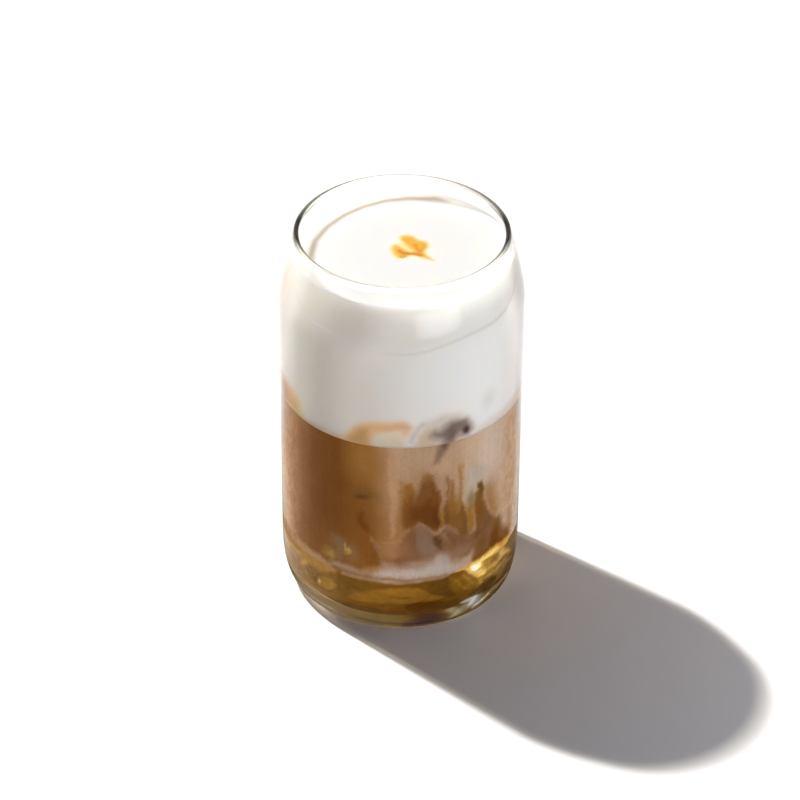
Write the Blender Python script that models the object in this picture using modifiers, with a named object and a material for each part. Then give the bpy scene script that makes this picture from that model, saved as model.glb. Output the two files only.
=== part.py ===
"""A salted caramel latte in its can-shaped tumbler.

The drink stands in layers: caramel syrup at the bottom, milky coffee above it, and a deep
layer of cold cream on top with a small drop of caramel. Metres, +Z up, with the origin at
the centre of the glass's foot. Each layer is a solid of its own, a small gap clear of the
glass and of the layer below it.
"""

from math import cos, pi, radians, sin

import bpy
from mathutils import Matrix, Vector

NAME = "salted_caramel_latte"

# The tumbler's outside
GLASS_HEIGHT = 0.1286
BODY_RADIUS = 0.0380
RIM_RADIUS = 0.0333
SHOULDER_START = 0.1070
SHOULDER_POWER = 1.35
FOOT_RADIUS = 0.0305
FOOT_CURVE_HEIGHT = 0.0200
FOOT_CURVE_POWER = 3.0

# The tumbler's inside
BODY_WALL = 0.0020
RIM_WALL = 0.0017
FLOOR_HEIGHT = 0.0050
FLOOR_RADIUS = 0.0250
FLOOR_CURVE_HEIGHT = 0.0135
FLOOR_CURVE_POWER = 2.4

# The shallow hollow under the foot
FOOT_RING_INNER_RADIUS = 0.0250
PUNT_DEPTH = 0.0012

# The levels of the drink
SYRUP_LEVEL = 0.0218
LATTE_LEVEL = 0.0730
CREAM_LEVEL = 0.1213
GAP = 0.0003
CREAM_RISE_AT_WALL = 0.0010
CREAM_RISE_WIDTH = 0.0030

# The caramel drop: centre x and y, half length, half width and turn in degrees
CARAMEL_RELIEF = 0.0004
CARAMEL_SINK = 0.0002
CARAMEL_LOBES = {
    "upper_lobe": (0.0038, 0.0041, 0.0054, 0.0032, -50.0),
    "lower_lobe": (-0.0006, -0.0009, 0.0041, 0.0023, -62.0),
    "stem": (0.0071, -0.0021, 0.0025, 0.0009, -68.0),
    "tail": (0.0050, -0.0031, 0.0048, 0.0010, -26.0),
}
LOBE_SEGMENTS = 20
LOBE_RINGS = 8

# How finely the shapes are faceted
TURN_STEPS = 60
FOOT_CURVE_STEPS = 8
FLOOR_CURVE_STEPS = 6
SHOULDER_STEPS = 7
LIP_STEPS = 6
PUNT_STEPS = 3
RISE_STEPS = 3
MERGE_DISTANCE = 0.00001

# Colours and finishes: linear red, green, blue, then roughness and transmission
FINISHES = {
    "clear_glass": ((0.95, 0.97, 0.94), 0.02, 1.0),
    "caramel_syrup": ((0.36, 0.16, 0.02), 0.08, 0.5),
    "milky_coffee": ((0.30, 0.14, 0.05), 0.25, 0.0),
    "cold_cream": ((0.90, 0.87, 0.82), 0.40, 0.0),
    "caramel": ((0.82, 0.38, 0.06), 0.20, 0.0),
}


def lip_radius():
    """Half of the wall at the rim, which is rounded over in a half circle."""
    return RIM_WALL / 2


def shoulder_top():
    """Height where the shoulder ends and the rounded lip begins."""
    return GLASS_HEIGHT - lip_radius()


def shoulder_share(z):
    """How far up the shoulder a height lies, from 0 to 1."""
    return max(0.0, (z - SHOULDER_START) / (shoulder_top() - SHOULDER_START))


def outer_radius(z):
    """Outside radius of the tumbler above its foot curve."""
    return BODY_RADIUS - (BODY_RADIUS - RIM_RADIUS) * shoulder_share(z) ** SHOULDER_POWER


def inner_radius(z):
    """Inside radius of the tumbler above its floor curve."""
    wall = BODY_WALL + (RIM_WALL - BODY_WALL) * shoulder_share(z)
    return outer_radius(z) - wall


def rounded_corner(low_radius, high_radius, low_z, high_z, power, steps):
    """Points up a soft corner, from a level floor to an upright wall."""
    points = []
    for i in range(steps + 1):
        turn = pi / 2 * i / steps
        across = sin(turn) ** (2 / power)
        up = 1 - max(0.0, cos(turn)) ** (2 / power)
        points.append((low_radius + (high_radius - low_radius) * across,
                       low_z + (high_z - low_z) * up))
    return points


def heights(low, high, steps):
    """Evenly spaced heights from low to high, both included."""
    return [low + (high - low) * i / steps for i in range(steps + 1)]


def floor_corner(inset):
    """The inside corner at the tumbler's floor, moved inwards by the inset."""
    return rounded_corner(FLOOR_RADIUS - inset, BODY_RADIUS - BODY_WALL - inset,
                          FLOOR_HEIGHT + inset, FLOOR_HEIGHT + FLOOR_CURVE_HEIGHT,
                          FLOOR_CURVE_POWER, FLOOR_CURVE_STEPS)


def glass_profile():
    """Up the inside, over the lip, down the outside and in under the foot."""
    inside = [(0.0, FLOOR_HEIGHT)] + floor_corner(0.0)
    inside += [(inner_radius(z), z) for z in heights(SHOULDER_START, shoulder_top(), SHOULDER_STEPS)]
    lip_centre = RIM_RADIUS - lip_radius()
    lip = []
    for i in range(1, LIP_STEPS):
        turn = pi * i / LIP_STEPS
        lip.append((lip_centre - lip_radius() * cos(turn), shoulder_top() + lip_radius() * sin(turn)))
    outside = [(outer_radius(z), z) for z in heights(SHOULDER_START, shoulder_top(), SHOULDER_STEPS)]
    foot = rounded_corner(FOOT_RADIUS, BODY_RADIUS, 0.0, FOOT_CURVE_HEIGHT,
                          FOOT_CURVE_POWER, FOOT_CURVE_STEPS)
    underside = []
    for i in range(PUNT_STEPS + 1):
        share = 1 - i / PUNT_STEPS
        underside.append((FOOT_RING_INNER_RADIUS * share, PUNT_DEPTH * (1 - share ** 2)))
    return inside + lip + outside[::-1] + foot[::-1] + underside


def syrup_profile():
    """The bottom layer, which fills the rounded floor of the tumbler."""
    corner = floor_corner(GAP)
    wall = BODY_RADIUS - BODY_WALL - GAP
    return [(0.0, SYRUP_LEVEL), (wall, SYRUP_LEVEL)] + corner[::-1] + [(0.0, FLOOR_HEIGHT + GAP)]


def latte_profile():
    """The middle layer, between the syrup and the cream."""
    wall = BODY_RADIUS - BODY_WALL - GAP
    bottom = SYRUP_LEVEL + GAP
    return [(0.0, LATTE_LEVEL), (wall, LATTE_LEVEL), (wall, bottom), (0.0, bottom)]


def cream_profile():
    """The top layer, level in the middle and drawn up a little along the wall."""
    contact = CREAM_LEVEL + CREAM_RISE_AT_WALL
    edge = inner_radius(contact) - GAP
    top = [(0.0, CREAM_LEVEL)]
    for i in range(RISE_STEPS + 1):
        share = i / RISE_STEPS
        top.append((edge - CREAM_RISE_WIDTH * (1 - share), CREAM_LEVEL + CREAM_RISE_AT_WALL * share ** 2))
    side = [(inner_radius(z) - GAP, z) for z in heights(SHOULDER_START, contact, SHOULDER_STEPS)]
    bottom = LATTE_LEVEL + GAP
    wall = BODY_RADIUS - BODY_WALL - GAP
    return top + side[-2::-1] + [(wall, bottom), (0.0, bottom)]


def make_material(name):
    """A Principled material from the finishes listed above."""
    colour, roughness, transmission = FINISHES[name]
    material = bpy.data.materials.new(name)
    material.use_nodes = True
    shader = material.node_tree.nodes["Principled BSDF"]
    shader.inputs["Base Color"].default_value = (*colour, 1.0)
    shader.inputs["Roughness"].default_value = roughness
    shader.inputs["Metallic"].default_value = 0.0
    shader.inputs["Transmission Weight"].default_value = transmission
    material.diffuse_color = (*colour, 1.0)
    return material


def turn_profile(name, profile, material, collection, parent):
    """A turned solid: the profile's outline swept once round the Z axis."""
    mesh = bpy.data.meshes.new(name)
    edges = [(i, i + 1) for i in range(len(profile) - 1)]
    mesh.from_pydata([(r, 0.0, z) for r, z in profile], edges, [])
    mesh.materials.append(material)
    solid = bpy.data.objects.new(name, mesh)
    collection.objects.link(solid)
    solid.parent = parent
    screw = solid.modifiers.new("turn", "SCREW")
    screw.axis = "Z"
    screw.angle = 2 * pi
    screw.steps = TURN_STEPS
    screw.render_steps = TURN_STEPS
    screw.use_merge_vertices = True
    screw.merge_threshold = MERGE_DISTANCE
    screw.use_smooth_shade = True
    return solid


def apply_modifiers(solid):
    """Gives the object the mesh that its modifiers make, and removes them."""
    depsgraph = bpy.context.evaluated_depsgraph_get()
    mesh = bpy.data.meshes.new_from_object(solid.evaluated_get(depsgraph))
    solid.modifiers.clear()
    solid.data = mesh


def make_lobe(name, shape, material, collection):
    """One flat lobe of the caramel drop, half sunk into the cream."""
    x, y, half_length, half_width, turn = shape
    bpy.ops.mesh.primitive_uv_sphere_add(segments=LOBE_SEGMENTS, ring_count=LOBE_RINGS, radius=1.0)
    lobe = bpy.context.object
    lobe.name = name
    place = Matrix.Translation(Vector((x, y, CREAM_LEVEL)))
    stretch = Matrix.Diagonal((half_length, half_width, CARAMEL_RELIEF, 1.0))
    lobe.data.transform(place @ Matrix.Rotation(radians(turn), 4, "Z") @ stretch)
    for vertex in lobe.data.vertices:
        if vertex.co.z < CREAM_LEVEL:
            vertex.co.z = CREAM_LEVEL - (CREAM_LEVEL - vertex.co.z) * CARAMEL_SINK / CARAMEL_RELIEF
    lobe.data.materials.append(material)
    for owner in lobe.users_collection:
        owner.objects.unlink(lobe)
    collection.objects.link(lobe)
    return lobe


def fuse_caramel(cream, lobes_collection):
    """Joins the caramel drop to the cream in one union, and removes the loose lobes."""
    union = cream.modifiers.new("caramel_drop", "BOOLEAN")
    union.operation = "UNION"
    union.operand_type = "COLLECTION"
    union.collection = lobes_collection
    union.solver = "EXACT"
    union.material_mode = "TRANSFER"
    apply_modifiers(cream)
    for lobe in list(lobes_collection.objects):
        bpy.data.objects.remove(lobe, do_unlink=True)
    bpy.data.collections.remove(lobes_collection)


def clear_scene():
    """Removes whatever the scene held before."""
    for leftover in list(bpy.data.objects):
        bpy.data.objects.remove(leftover, do_unlink=True)


def main():
    clear_scene()
    drink = bpy.data.collections.new(NAME)
    bpy.context.scene.collection.children.link(drink)
    base = bpy.data.objects.new("foot_centre", None)
    drink.objects.link(base)
    turn_profile("glass", glass_profile(), make_material("clear_glass"), drink, base)
    turn_profile("syrup_layer", syrup_profile(), make_material("caramel_syrup"), drink, base)
    turn_profile("latte_layer", latte_profile(), make_material("milky_coffee"), drink, base)
    cream = turn_profile("cream_layer", cream_profile(), make_material("cold_cream"), drink, base)
    lobes = bpy.data.collections.new("caramel_lobes")
    bpy.context.scene.collection.children.link(lobes)
    caramel = make_material("caramel")
    for name, shape in CARAMEL_LOBES.items():
        make_lobe(name, shape, caramel, lobes)
    apply_modifiers(cream)
    fuse_caramel(cream, lobes)


main()
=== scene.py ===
"""The looks of a salted caramel latte in its can-shaped tumbler.

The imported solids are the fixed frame. The glass and each layer of the drink get a finely
turned mesh of the same form, and the caramel drop gets its own relief on the cream.
Places on the wall are given by an angle in degrees from the front, which is the -Y side,
growing towards +X, and by a height in millimetres above the table. Places on the cream are
in millimetres from the axis. All other sizes are in metres.
"""

import logging
import math
from dataclasses import dataclass, field
from enum import Enum
from typing import ClassVar, Sequence

import bpy
import numpy as np
from mathutils import Matrix, Vector


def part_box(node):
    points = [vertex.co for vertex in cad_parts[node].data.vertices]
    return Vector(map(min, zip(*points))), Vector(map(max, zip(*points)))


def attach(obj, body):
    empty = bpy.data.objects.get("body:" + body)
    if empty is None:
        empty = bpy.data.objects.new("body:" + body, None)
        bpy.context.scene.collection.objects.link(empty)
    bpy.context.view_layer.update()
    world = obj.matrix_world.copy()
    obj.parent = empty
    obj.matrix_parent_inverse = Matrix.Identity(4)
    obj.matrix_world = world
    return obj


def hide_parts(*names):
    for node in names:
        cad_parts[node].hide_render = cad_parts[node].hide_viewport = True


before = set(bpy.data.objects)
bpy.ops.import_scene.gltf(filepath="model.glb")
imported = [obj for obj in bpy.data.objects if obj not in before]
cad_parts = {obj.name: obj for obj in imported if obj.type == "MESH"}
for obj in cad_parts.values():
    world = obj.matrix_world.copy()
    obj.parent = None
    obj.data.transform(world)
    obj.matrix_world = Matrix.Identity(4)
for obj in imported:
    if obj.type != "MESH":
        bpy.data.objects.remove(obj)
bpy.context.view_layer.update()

MILLIMETRE = 0.001

# What the meshes store for their materials: the glow is painted light, and the gloss a painted
# darkening of reflections
PAINT = "paint"
GLOW = "glow"
GLOSS = "gloss"
WALL = "wall"

# The sockets of a node that mixes colours
MIX_FIRST = 6
MIX_SECOND = 7
MIX_RESULT = 2

# How marks are measured and softened on the wall
MM_PER_DEGREE = 0.63
SOFTENING = 1.3

# How many degrees the left and right sides lie from the front
SIDE = 90.0

WHITE = (1.0, 1.0, 1.0)

Colour = tuple[float, float, float]
Place = tuple[float, float]
Path = tuple[Place, ...]
Profile = list[tuple[float, float]]
Socket = bpy.types.NodeSocket

log = logging.getLogger("latte")


class Node(Enum):
    """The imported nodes, by the piece of the drink that each one is."""

    GLASS = "glass"
    SYRUP = "syrup_layer"
    LATTE = "latte_layer"
    CREAM = "cream_layer"


class Slot(Enum):
    """The record's material slots."""

    GLASS = "glass"
    SYRUP = "syrup"
    LATTE = "latte"
    CREAM = "cream"
    CARAMEL = "caramel"


def ink(red: float, green: float, blue: float) -> Colour:
    """Turns a colour as a screen shows it into linear light.

    Args:
        red: Red from 0 to 255.
        green: Green from 0 to 255.
        blue: Blue from 0 to 255.

    Returns:
        The three channels in linear light, from 0 to 1.
    """
    return tuple(
        share / 12.92 if share <= 0.04045 else ((share + 0.055) / 1.055) ** 2.4
        for share in (red / 255, green / 255, blue / 255)
    )


def smooth(share: np.ndarray) -> np.ndarray:
    """Eases a share from 0 to 1 in and out, and holds it at 0 and 1 outside."""
    held = np.clip(share, 0.0, 1.0)
    return held * held * (3.0 - 2.0 * held)


def wrap(degrees: np.ndarray) -> np.ndarray:
    """Brings angles into the range from -180 to 180 degrees."""
    return (degrees + 180.0) % 360.0 - 180.0


def mixed(under: np.ndarray, colour: Colour | np.ndarray, cover: np.ndarray) -> np.ndarray:
    """Lays one colour over others.

    Args:
        under: The colours below, one row each.
        colour: The colour that is laid on, the same everywhere or one row each.
        cover: How much of it shows at each row, from 0 to 1.

    Returns:
        The mixed colours.
    """
    share = np.clip(cover, 0.0, 1.0)[:, None]
    return under * (1.0 - share) + np.asarray(colour) * share


@dataclass(frozen=True)
class Places:
    """Places on the wall, by angles in degrees and heights in millimetres."""

    angles: np.ndarray
    heights: np.ndarray

    @classmethod
    def of_points(cls, points: np.ndarray) -> "Places":
        """The places of points in metres."""
        angles = np.degrees(np.arctan2(points[:, 0], -points[:, 1]))
        return cls(angles, points[:, 2] / MILLIMETRE)

    @property
    def turned(self) -> np.ndarray:
        """The angles in the range from -180 to 180 degrees."""
        return wrap(self.angles)

    @property
    def along(self) -> np.ndarray:
        """How far each place lies from the front along the wall, in millimetres."""
        return self.turned * MM_PER_DEGREE

    def moved(self, turn: np.ndarray | float, lift: np.ndarray) -> "Places":
        """The places after a turn in degrees and a lift in millimetres."""
        return Places(self.angles + turn, self.heights + lift)


@dataclass(frozen=True)
class Rise:
    """A soft step from 0 up to its height, or back down where its span is less than 0."""

    start: float
    span: float
    height: float = 1.0

    def at(self, values: np.ndarray) -> np.ndarray:
        """How high the step stands at each value."""
        return self.height * smooth((values - self.start) / self.span)


@dataclass(frozen=True)
class Unevenness:
    """A smooth random field round the wall, which closes behind the glass.

    Its values lie between its strength and the same below 0.
    """

    cells_round: int
    cell_height: float
    seed: int
    octaves: int = 1
    strength: float = 1.0
    top: float = 150.0

    def at(self, places: Places) -> np.ndarray:
        """Reads the field.

        Args:
            places: Where it is read.

        Returns:
            One value for each place.
        """
        finer = [2 ** octave for octave in range(self.octaves)]
        layers = [self.layer(places, fineness) / fineness for fineness in finer]
        return self.strength * np.sum(layers, axis=0) / sum(1 / fineness for fineness in finer)

    def layer(self, places: Places, fineness: int) -> np.ndarray:
        """Reads one layer of the field.

        Args:
            places: Where it is read.
            fineness: How many times finer its cells are than the largest.

        Returns:
            One value for each place, from -1 to 1.
        """
        cells, cell_height = self.cells_round * fineness, self.cell_height / fineness
        rows = 2 + int(self.top / cell_height)
        lattice = np.random.default_rng(self.seed + fineness).uniform(-1.0, 1.0, (rows, cells))
        across = (places.turned + 180.0) / 360.0 * cells
        up = np.clip(places.heights / cell_height, 0.0, rows - 1)
        column = np.floor(across).astype(int) % cells
        row = np.minimum(np.floor(up).astype(int), rows - 2)
        side, rise = smooth(across - np.floor(across)), smooth(up - row)
        beside = (column + 1) % cells
        low = lattice[row, column] * (1 - side) + lattice[row, beside] * side
        high = lattice[row + 1, column] * (1 - side) + lattice[row + 1, beside] * side
        return low * (1 - rise) + high * rise


def along_line(
    x: np.ndarray, y: np.ndarray, start: Place, end: Place
) -> tuple[np.ndarray, np.ndarray]:
    """Measures places against a straight line in a plane.

    Args:
        x: The places' first coordinate.
        y: Their second coordinate.
        start: The line's first point.
        end: Its last point.

    Returns:
        The distance from the line, and the share of the way along it.
    """
    across, up = end[0] - start[0], end[1] - start[1]
    way = (x - start[0]) * across + (y - start[1]) * up
    share = np.clip(way / (across * across + up * up), 0.0, 1.0)
    return np.hypot(x - start[0] - share * across, y - start[1] - share * up), share


def depth_inside(x: np.ndarray, y: np.ndarray, outline: Path) -> np.ndarray:
    """Measures how deep inside an outline places lie.

    Args:
        x: The places' first coordinate.
        y: Their second coordinate.
        outline: The outline's corners in order.

    Returns:
        The distance from the outline, which is less than 0 outside it.
    """
    distance = np.full(x.shape, np.inf)
    inside = np.zeros(x.shape, dtype=bool)
    for start, end in zip(outline, outline[1:] + outline[:1]):
        distance = np.minimum(distance, along_line(x, y, start, end)[0])
        if start[1] != end[1]:
            crossing = start[0] + (y - start[1]) / (end[1] - start[1]) * (end[0] - start[0])
            inside ^= ((start[1] > y) != (end[1] > y)) & (x < crossing)
    return np.where(inside, distance, -distance)


def unrolled(path: Path) -> Path:
    """Turns a path's angles into millimetres along the wall."""
    return tuple((angle * MM_PER_DEGREE, height) for angle, height in path)


@dataclass(frozen=True)
class Patch:
    """A soft oval patch of colour on the wall."""

    angle: float
    height: float
    half_width: float
    half_height: float
    colour: Colour
    strength: float = 0.7
    lean: float = 0.0
    softness: float = 0.9

    def cover(self, places: Places) -> np.ndarray:
        """How much of the patch shows.

        Args:
            places: Where it is looked for.

        Returns:
            The share at each place, up to the strength.
        """
        rise = places.heights - self.height
        across = (wrap(places.angles - self.angle) - self.lean * rise) / self.half_width
        distance = np.hypot(across, rise / self.half_height)
        return self.strength * smooth((1 + self.softness - distance) / (2 * self.softness))


@dataclass(frozen=True)
class Region:
    """A soft-edged shape on the wall inside an outline of angles and heights."""

    outline: Path
    colour: Colour
    softness: float = 0.6
    strength: float = 0.9

    def cover(self, places: Places) -> np.ndarray:
        """How much of the shape shows.

        Args:
            places: Where it is looked for.

        Returns:
            The share at each place, up to the strength.
        """
        x, y, outline = places.along, places.heights, unrolled(self.outline)
        reach = self.softness * SOFTENING
        left, low = np.min(outline, axis=0) - reach
        right, high = np.max(outline, axis=0) + reach
        near = (x > left) & (x < right) & (y > low) & (y < high)
        depth = depth_inside(x[near], y[near], outline)
        cover = np.zeros(len(x))
        cover[near] = self.strength * smooth(depth / (2 * reach) + 0.5)
        return cover


@dataclass(frozen=True)
class Stroke:
    """A soft line on the wall along a path of angles and heights."""

    path: Path
    half_width: float
    colour: Colour
    strength: float = 0.7
    end_fade: float = 0.15

    def cover(self, places: Places) -> np.ndarray:
        """How much of the line shows at each place on the wall."""
        return self.shown(places.along, places.heights, unrolled(self.path))

    def shown(self, x: np.ndarray, y: np.ndarray, path: Path) -> np.ndarray:
        """How much of the line shows in a plane.

        Args:
            x: The places' first coordinate in millimetres.
            y: Their second coordinate.
            path: The points that the line runs through.

        Returns:
            The share at each place, up to the strength.
        """
        cover = np.zeros(len(x))
        legs = len(path) - 1
        for leg, (start, end) in enumerate(zip(path, path[1:])):
            distance, share = along_line(x, y, start, end)
            way = (leg + share) / legs
            fade = smooth(way / self.end_fade) * smooth((1.0 - way) / self.end_fade)
            cover = np.maximum(cover, np.exp(-((distance / self.half_width) ** 2)) * fade)
        return self.strength * cover


@dataclass(frozen=True)
class FlatStroke(Stroke):
    """A soft line on the cream's surface, through points in millimetres from the axis."""

    end_fade: float = 0.12

    def cover(self, x: np.ndarray, y: np.ndarray) -> np.ndarray:
        """How much of the line shows at each place on the surface."""
        return self.shown(x, y, self.path)


Mark = Patch | Region | Stroke


@dataclass(frozen=True)
class AngleRamp:
    """A colour that changes with the angle round the wall."""

    keys: tuple[tuple[float, Colour], ...]

    def at(self, places: Places) -> np.ndarray:
        """Reads the colour.

        Args:
            places: Where it is read.

        Returns:
            The colour at each place, one row each.
        """
        angles, colours = zip(*self.keys)
        turned = places.turned
        return np.stack([np.interp(turned, angles, channel) for channel in zip(*colours)], axis=1)


@dataclass(frozen=True)
class WallLight:
    """The light that falls on the wall of the drink, and the glare of the glass before it.

    The colours of the drink's marks are those in which they are seen from outside. Here they
    are turned into paint, and what is brighter than any paint becomes a painted glow. Where the
    glare is more than the seen colour leaves room for, part of it stays in the paint as painted
    reflection.
    """

    light: AngleRamp
    glare: AngleRamp
    height_keys: tuple[float, ...] = (5.0, 5.4, 7.0, 10.0, 13.0, 16.0, 22.0, 40.0, 55.0)
    light_left: tuple[float, ...] = (0.08, 0.30, 0.60, 0.78, 0.92, 0.96, 0.975, 0.99, 1.0)
    light_right: tuple[float, ...] = (0.08, 0.20, 0.32, 0.58, 0.77, 0.84, 0.905, 0.98, 1.0)
    to_right: Rise = Rise(-30.0, 50.0)
    glare_keys: tuple[float, ...] = (25.0, 40.0, 55.0, 70.0)
    glare_height: tuple[float, ...] = (0.03, 0.20, 0.58, 1.0)
    least_share: float = 0.45
    palest: float = 0.93
    darkest: float = 0.012

    def falling(self, places: Places) -> np.ndarray:
        """Reads the light that falls on the wall.

        Args:
            places: Where it is read.

        Returns:
            The light at each place, one row each.
        """
        left = np.interp(places.heights, self.height_keys, self.light_left)
        right = np.interp(places.heights, self.height_keys, self.light_right)
        share = self.to_right.at(places.turned)
        return self.light.at(places) * (left * (1 - share) + right * share)[:, None]

    def needed(self, seen: Colour | np.ndarray, places: Places) -> np.ndarray:
        """Works out the paint that would look like a colour as seen.

        Args:
            seen: The colour as seen, the same everywhere or one row for each place.
            places: Where the paint goes.

        Returns:
            The paint, one row for each place, which can be paler than any paint.
        """
        scale = np.interp(places.heights, self.glare_keys, self.glare_height)
        seen = np.asarray(seen)
        own = np.maximum(seen - self.glare.at(places) * scale[:, None], seen * self.least_share)
        return own / self.falling(places)

    def laid_over(self, needed: np.ndarray, marks: Sequence[Mark], places: Places) -> np.ndarray:
        """Lays marks over the needed paint in order.

        Args:
            needed: The paint below, one row for each place.
            marks: The marks, the lowest first, in colours as seen.
            places: Where the paint goes.

        Returns:
            The needed paint with the marks on it.
        """
        for mark in marks:
            needed = mixed(needed, self.needed(mark.colour, places), mark.cover(places))
        return needed

    def coat(self, mesh: bpy.types.Mesh, needed: np.ndarray, places: Places) -> None:
        """Stores the paint on a mesh, and as a painted glow the light that paint can't give.

        Args:
            mesh: The mesh.
            needed: The needed paint, one row for each point.
            places: Where the points lie.
        """
        beyond = np.clip(needed - self.palest, 0.0, None)
        set_colours(mesh, PAINT, np.clip(needed, self.darkest, self.palest))
        set_colours(mesh, GLOW, beyond * self.falling(places))


@dataclass(frozen=True)
class TumblerShape:
    """The tumbler's turned form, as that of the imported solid."""

    height: float
    body_radius: float
    rim_radius: float = 0.0333
    shoulder_start: float = 0.1070
    shoulder_power: float = 1.35
    foot_radius: float = 0.0305
    foot_curve_height: float = 0.0200
    foot_curve_power: float = 3.0
    body_wall: float = 0.0020
    rim_wall: float = 0.0017
    floor_height: float = 0.0050
    floor_radius: float = 0.0250
    floor_curve_height: float = 0.0135
    floor_curve_power: float = 2.4
    foot_ring_inner_radius: float = 0.0250
    punt_depth: float = 0.0012

    @classmethod
    def of_frame(cls) -> "TumblerShape":
        """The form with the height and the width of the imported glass."""
        _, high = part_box(Node.GLASS.value)
        return cls(height=high.z, body_radius=high.x)

    @property
    def shoulder_top(self) -> float:
        """Height where the shoulder ends and the rounded lip begins."""
        return self.height - self.rim_wall / 2

    @property
    def wall_radius(self) -> float:
        """Inside radius of the straight wall."""
        return self.body_radius - self.body_wall

    def shoulder_share(self, z: float) -> float:
        """How far up the shoulder a height lies, from 0 to 1."""
        return max(0.0, (z - self.shoulder_start) / (self.shoulder_top - self.shoulder_start))

    def outer_radius(self, z: float) -> float:
        """Outside radius above the foot curve."""
        narrowing = self.shoulder_share(z) ** self.shoulder_power
        return self.body_radius - (self.body_radius - self.rim_radius) * narrowing

    def inner_radius(self, z: float) -> float:
        """Inside radius above the floor curve."""
        wall = self.body_wall + (self.rim_wall - self.body_wall) * self.shoulder_share(z)
        return self.outer_radius(z) - wall

    def floor_corner(self, outset: float, steps: int) -> Profile:
        """The inside corner at the floor, from the floor up to the wall.

        Args:
            outset: How far the curve is moved into the glass.
            steps: Number of steps along the curve.

        Returns:
            Radius and height of each point.
        """
        start = (self.floor_radius + outset, self.floor_height - outset)
        end = (self.wall_radius + outset, self.floor_height + self.floor_curve_height)
        return rounded_corner(start, end, self.floor_curve_power, steps)


def rounded_corner(low: Place, high: Place, power: float, steps: int) -> Profile:
    """Points up a soft corner, from a level floor to an upright wall.

    Args:
        low: Radius and height where the corner starts.
        high: Radius and height where it ends.
        power: The superellipse's power, 2 for a round corner and more for a squarer one.
        steps: Number of steps.

    Returns:
        Radius and height of each point.
    """
    points = []
    for step in range(steps + 1):
        turn = math.pi / 2 * step / steps
        across = math.sin(turn) ** (2 / power)
        up = 1 - max(0.0, math.cos(turn)) ** (2 / power)
        points.append((low[0] + (high[0] - low[0]) * across, low[1] + (high[1] - low[1]) * up))
    return points


def spread(low: float, high: float, step: float) -> list[float]:
    """Values from low to high, both included, no further apart than the step."""
    count = max(1, math.ceil(abs(high - low) / step))
    return [low + (high - low) * i / count for i in range(count + 1)]


def level_line(height: float, start: float, end: float, step: float) -> Profile:
    """Points at one height from a start radius to an end radius, both included."""
    return [(radius, height) for radius in spread(start, end, step)]


@dataclass(frozen=True)
class Turning:
    """How a profile is turned round the Z axis into a closed mesh."""

    columns: np.ndarray
    on_axis: float = 1e-7
    sharp_angle: float = 40.0

    @classmethod
    def denser_in_front(
        cls, front_step: float, back_step: float, half_span: float = 95.0
    ) -> "Turning":
        """A turning whose columns lie closer together at the front than at the back.

        Args:
            front_step: Degrees between columns at the front.
            back_step: Degrees between columns at the back.
            half_span: How far the front part reaches to each side, in degrees.

        Returns:
            The turning.
        """
        front = spread(-half_span, half_span, front_step)
        return cls(np.array(front + spread(half_span, 360.0 - half_span, back_step)[1:-1]))

    def ring(self, radius: float, height: float) -> np.ndarray:
        """Turns one point of the profile.

        Args:
            radius: The point's radius.
            height: Its height.

        Returns:
            The ring of points, or the one point that it is on the axis.
        """
        if radius < self.on_axis:
            return np.array([[0.0, 0.0, height]])
        around = np.radians(self.columns)
        level = np.full(len(around), height)
        return np.stack([radius * np.sin(around), -radius * np.cos(around), level], axis=1)

    def mesh(self, name: str, profile: Profile) -> bpy.types.Mesh:
        """Turns a profile into a mesh.

        Args:
            name: The mesh's name.
            profile: Radius and height of each point, up the outside, so that the faces point out.

        Returns:
            The mesh, shaded smooth.
        """
        rings = [self.ring(radius, height) for radius, height in profile]
        starts = np.cumsum([0] + [len(ring) for ring in rings]).tolist()
        faces = []
        for lower, (a, b) in enumerate(zip(starts, starts[1:-1])):
            low_is_point, high_is_point = len(rings[lower]) == 1, len(rings[lower + 1]) == 1
            for i in range(len(self.columns)):
                j = (i + 1) % len(self.columns)
                if low_is_point:
                    faces.append((a, b + j, b + i))
                elif high_is_point:
                    faces.append((a + i, a + j, b))
                else:
                    faces.append((a + i, a + j, b + j, b + i))
        mesh = bpy.data.meshes.new(name)
        mesh.from_pydata(np.concatenate(rings).tolist(), [], faces)
        mesh.shade_smooth()
        mesh.set_sharp_from_angle(angle=math.radians(self.sharp_angle))
        return mesh


def new_piece(mesh: bpy.types.Mesh, node: Node | None) -> bpy.types.Object:
    """Makes a piece of the drink from a mesh.

    Args:
        mesh: The finished mesh, whose name the piece takes.
        node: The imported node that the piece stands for, if any.

    Returns:
        The piece, riding on the only body.
    """
    piece = bpy.data.objects.new(mesh.name, mesh)
    bpy.context.scene.collection.objects.link(piece)
    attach(piece, "root")
    if node is not None:
        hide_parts(node.value)
    return piece


def points_of(mesh: bpy.types.Mesh) -> np.ndarray:
    """Reads a mesh's points.

    Args:
        mesh: The mesh.

    Returns:
        The points in metres, one row each.
    """
    points = np.zeros(len(mesh.vertices) * 3)
    mesh.vertices.foreach_get("co", points)
    return points.reshape(-1, 3)


def set_colours(mesh: bpy.types.Mesh, name: str, colours: np.ndarray) -> None:
    """Stores one colour for each point of a mesh.

    Args:
        mesh: The mesh.
        name: The name that the colours are stored under.
        colours: Linear red, green and blue, one row for each point.
    """
    attribute = mesh.color_attributes.new(name, "FLOAT_COLOR", "POINT")
    rows = np.concatenate([colours, np.ones((len(colours), 1))], axis=1)
    attribute.data.foreach_set("color", rows.astype(np.float32).ravel())


def set_number(mesh: bpy.types.Mesh, name: str, values: np.ndarray) -> None:
    """Stores one number for each point of a mesh under a name."""
    attribute = mesh.attributes.new(name, "FLOAT", "POINT")
    attribute.data.foreach_set("value", values.astype(np.float32))


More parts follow.
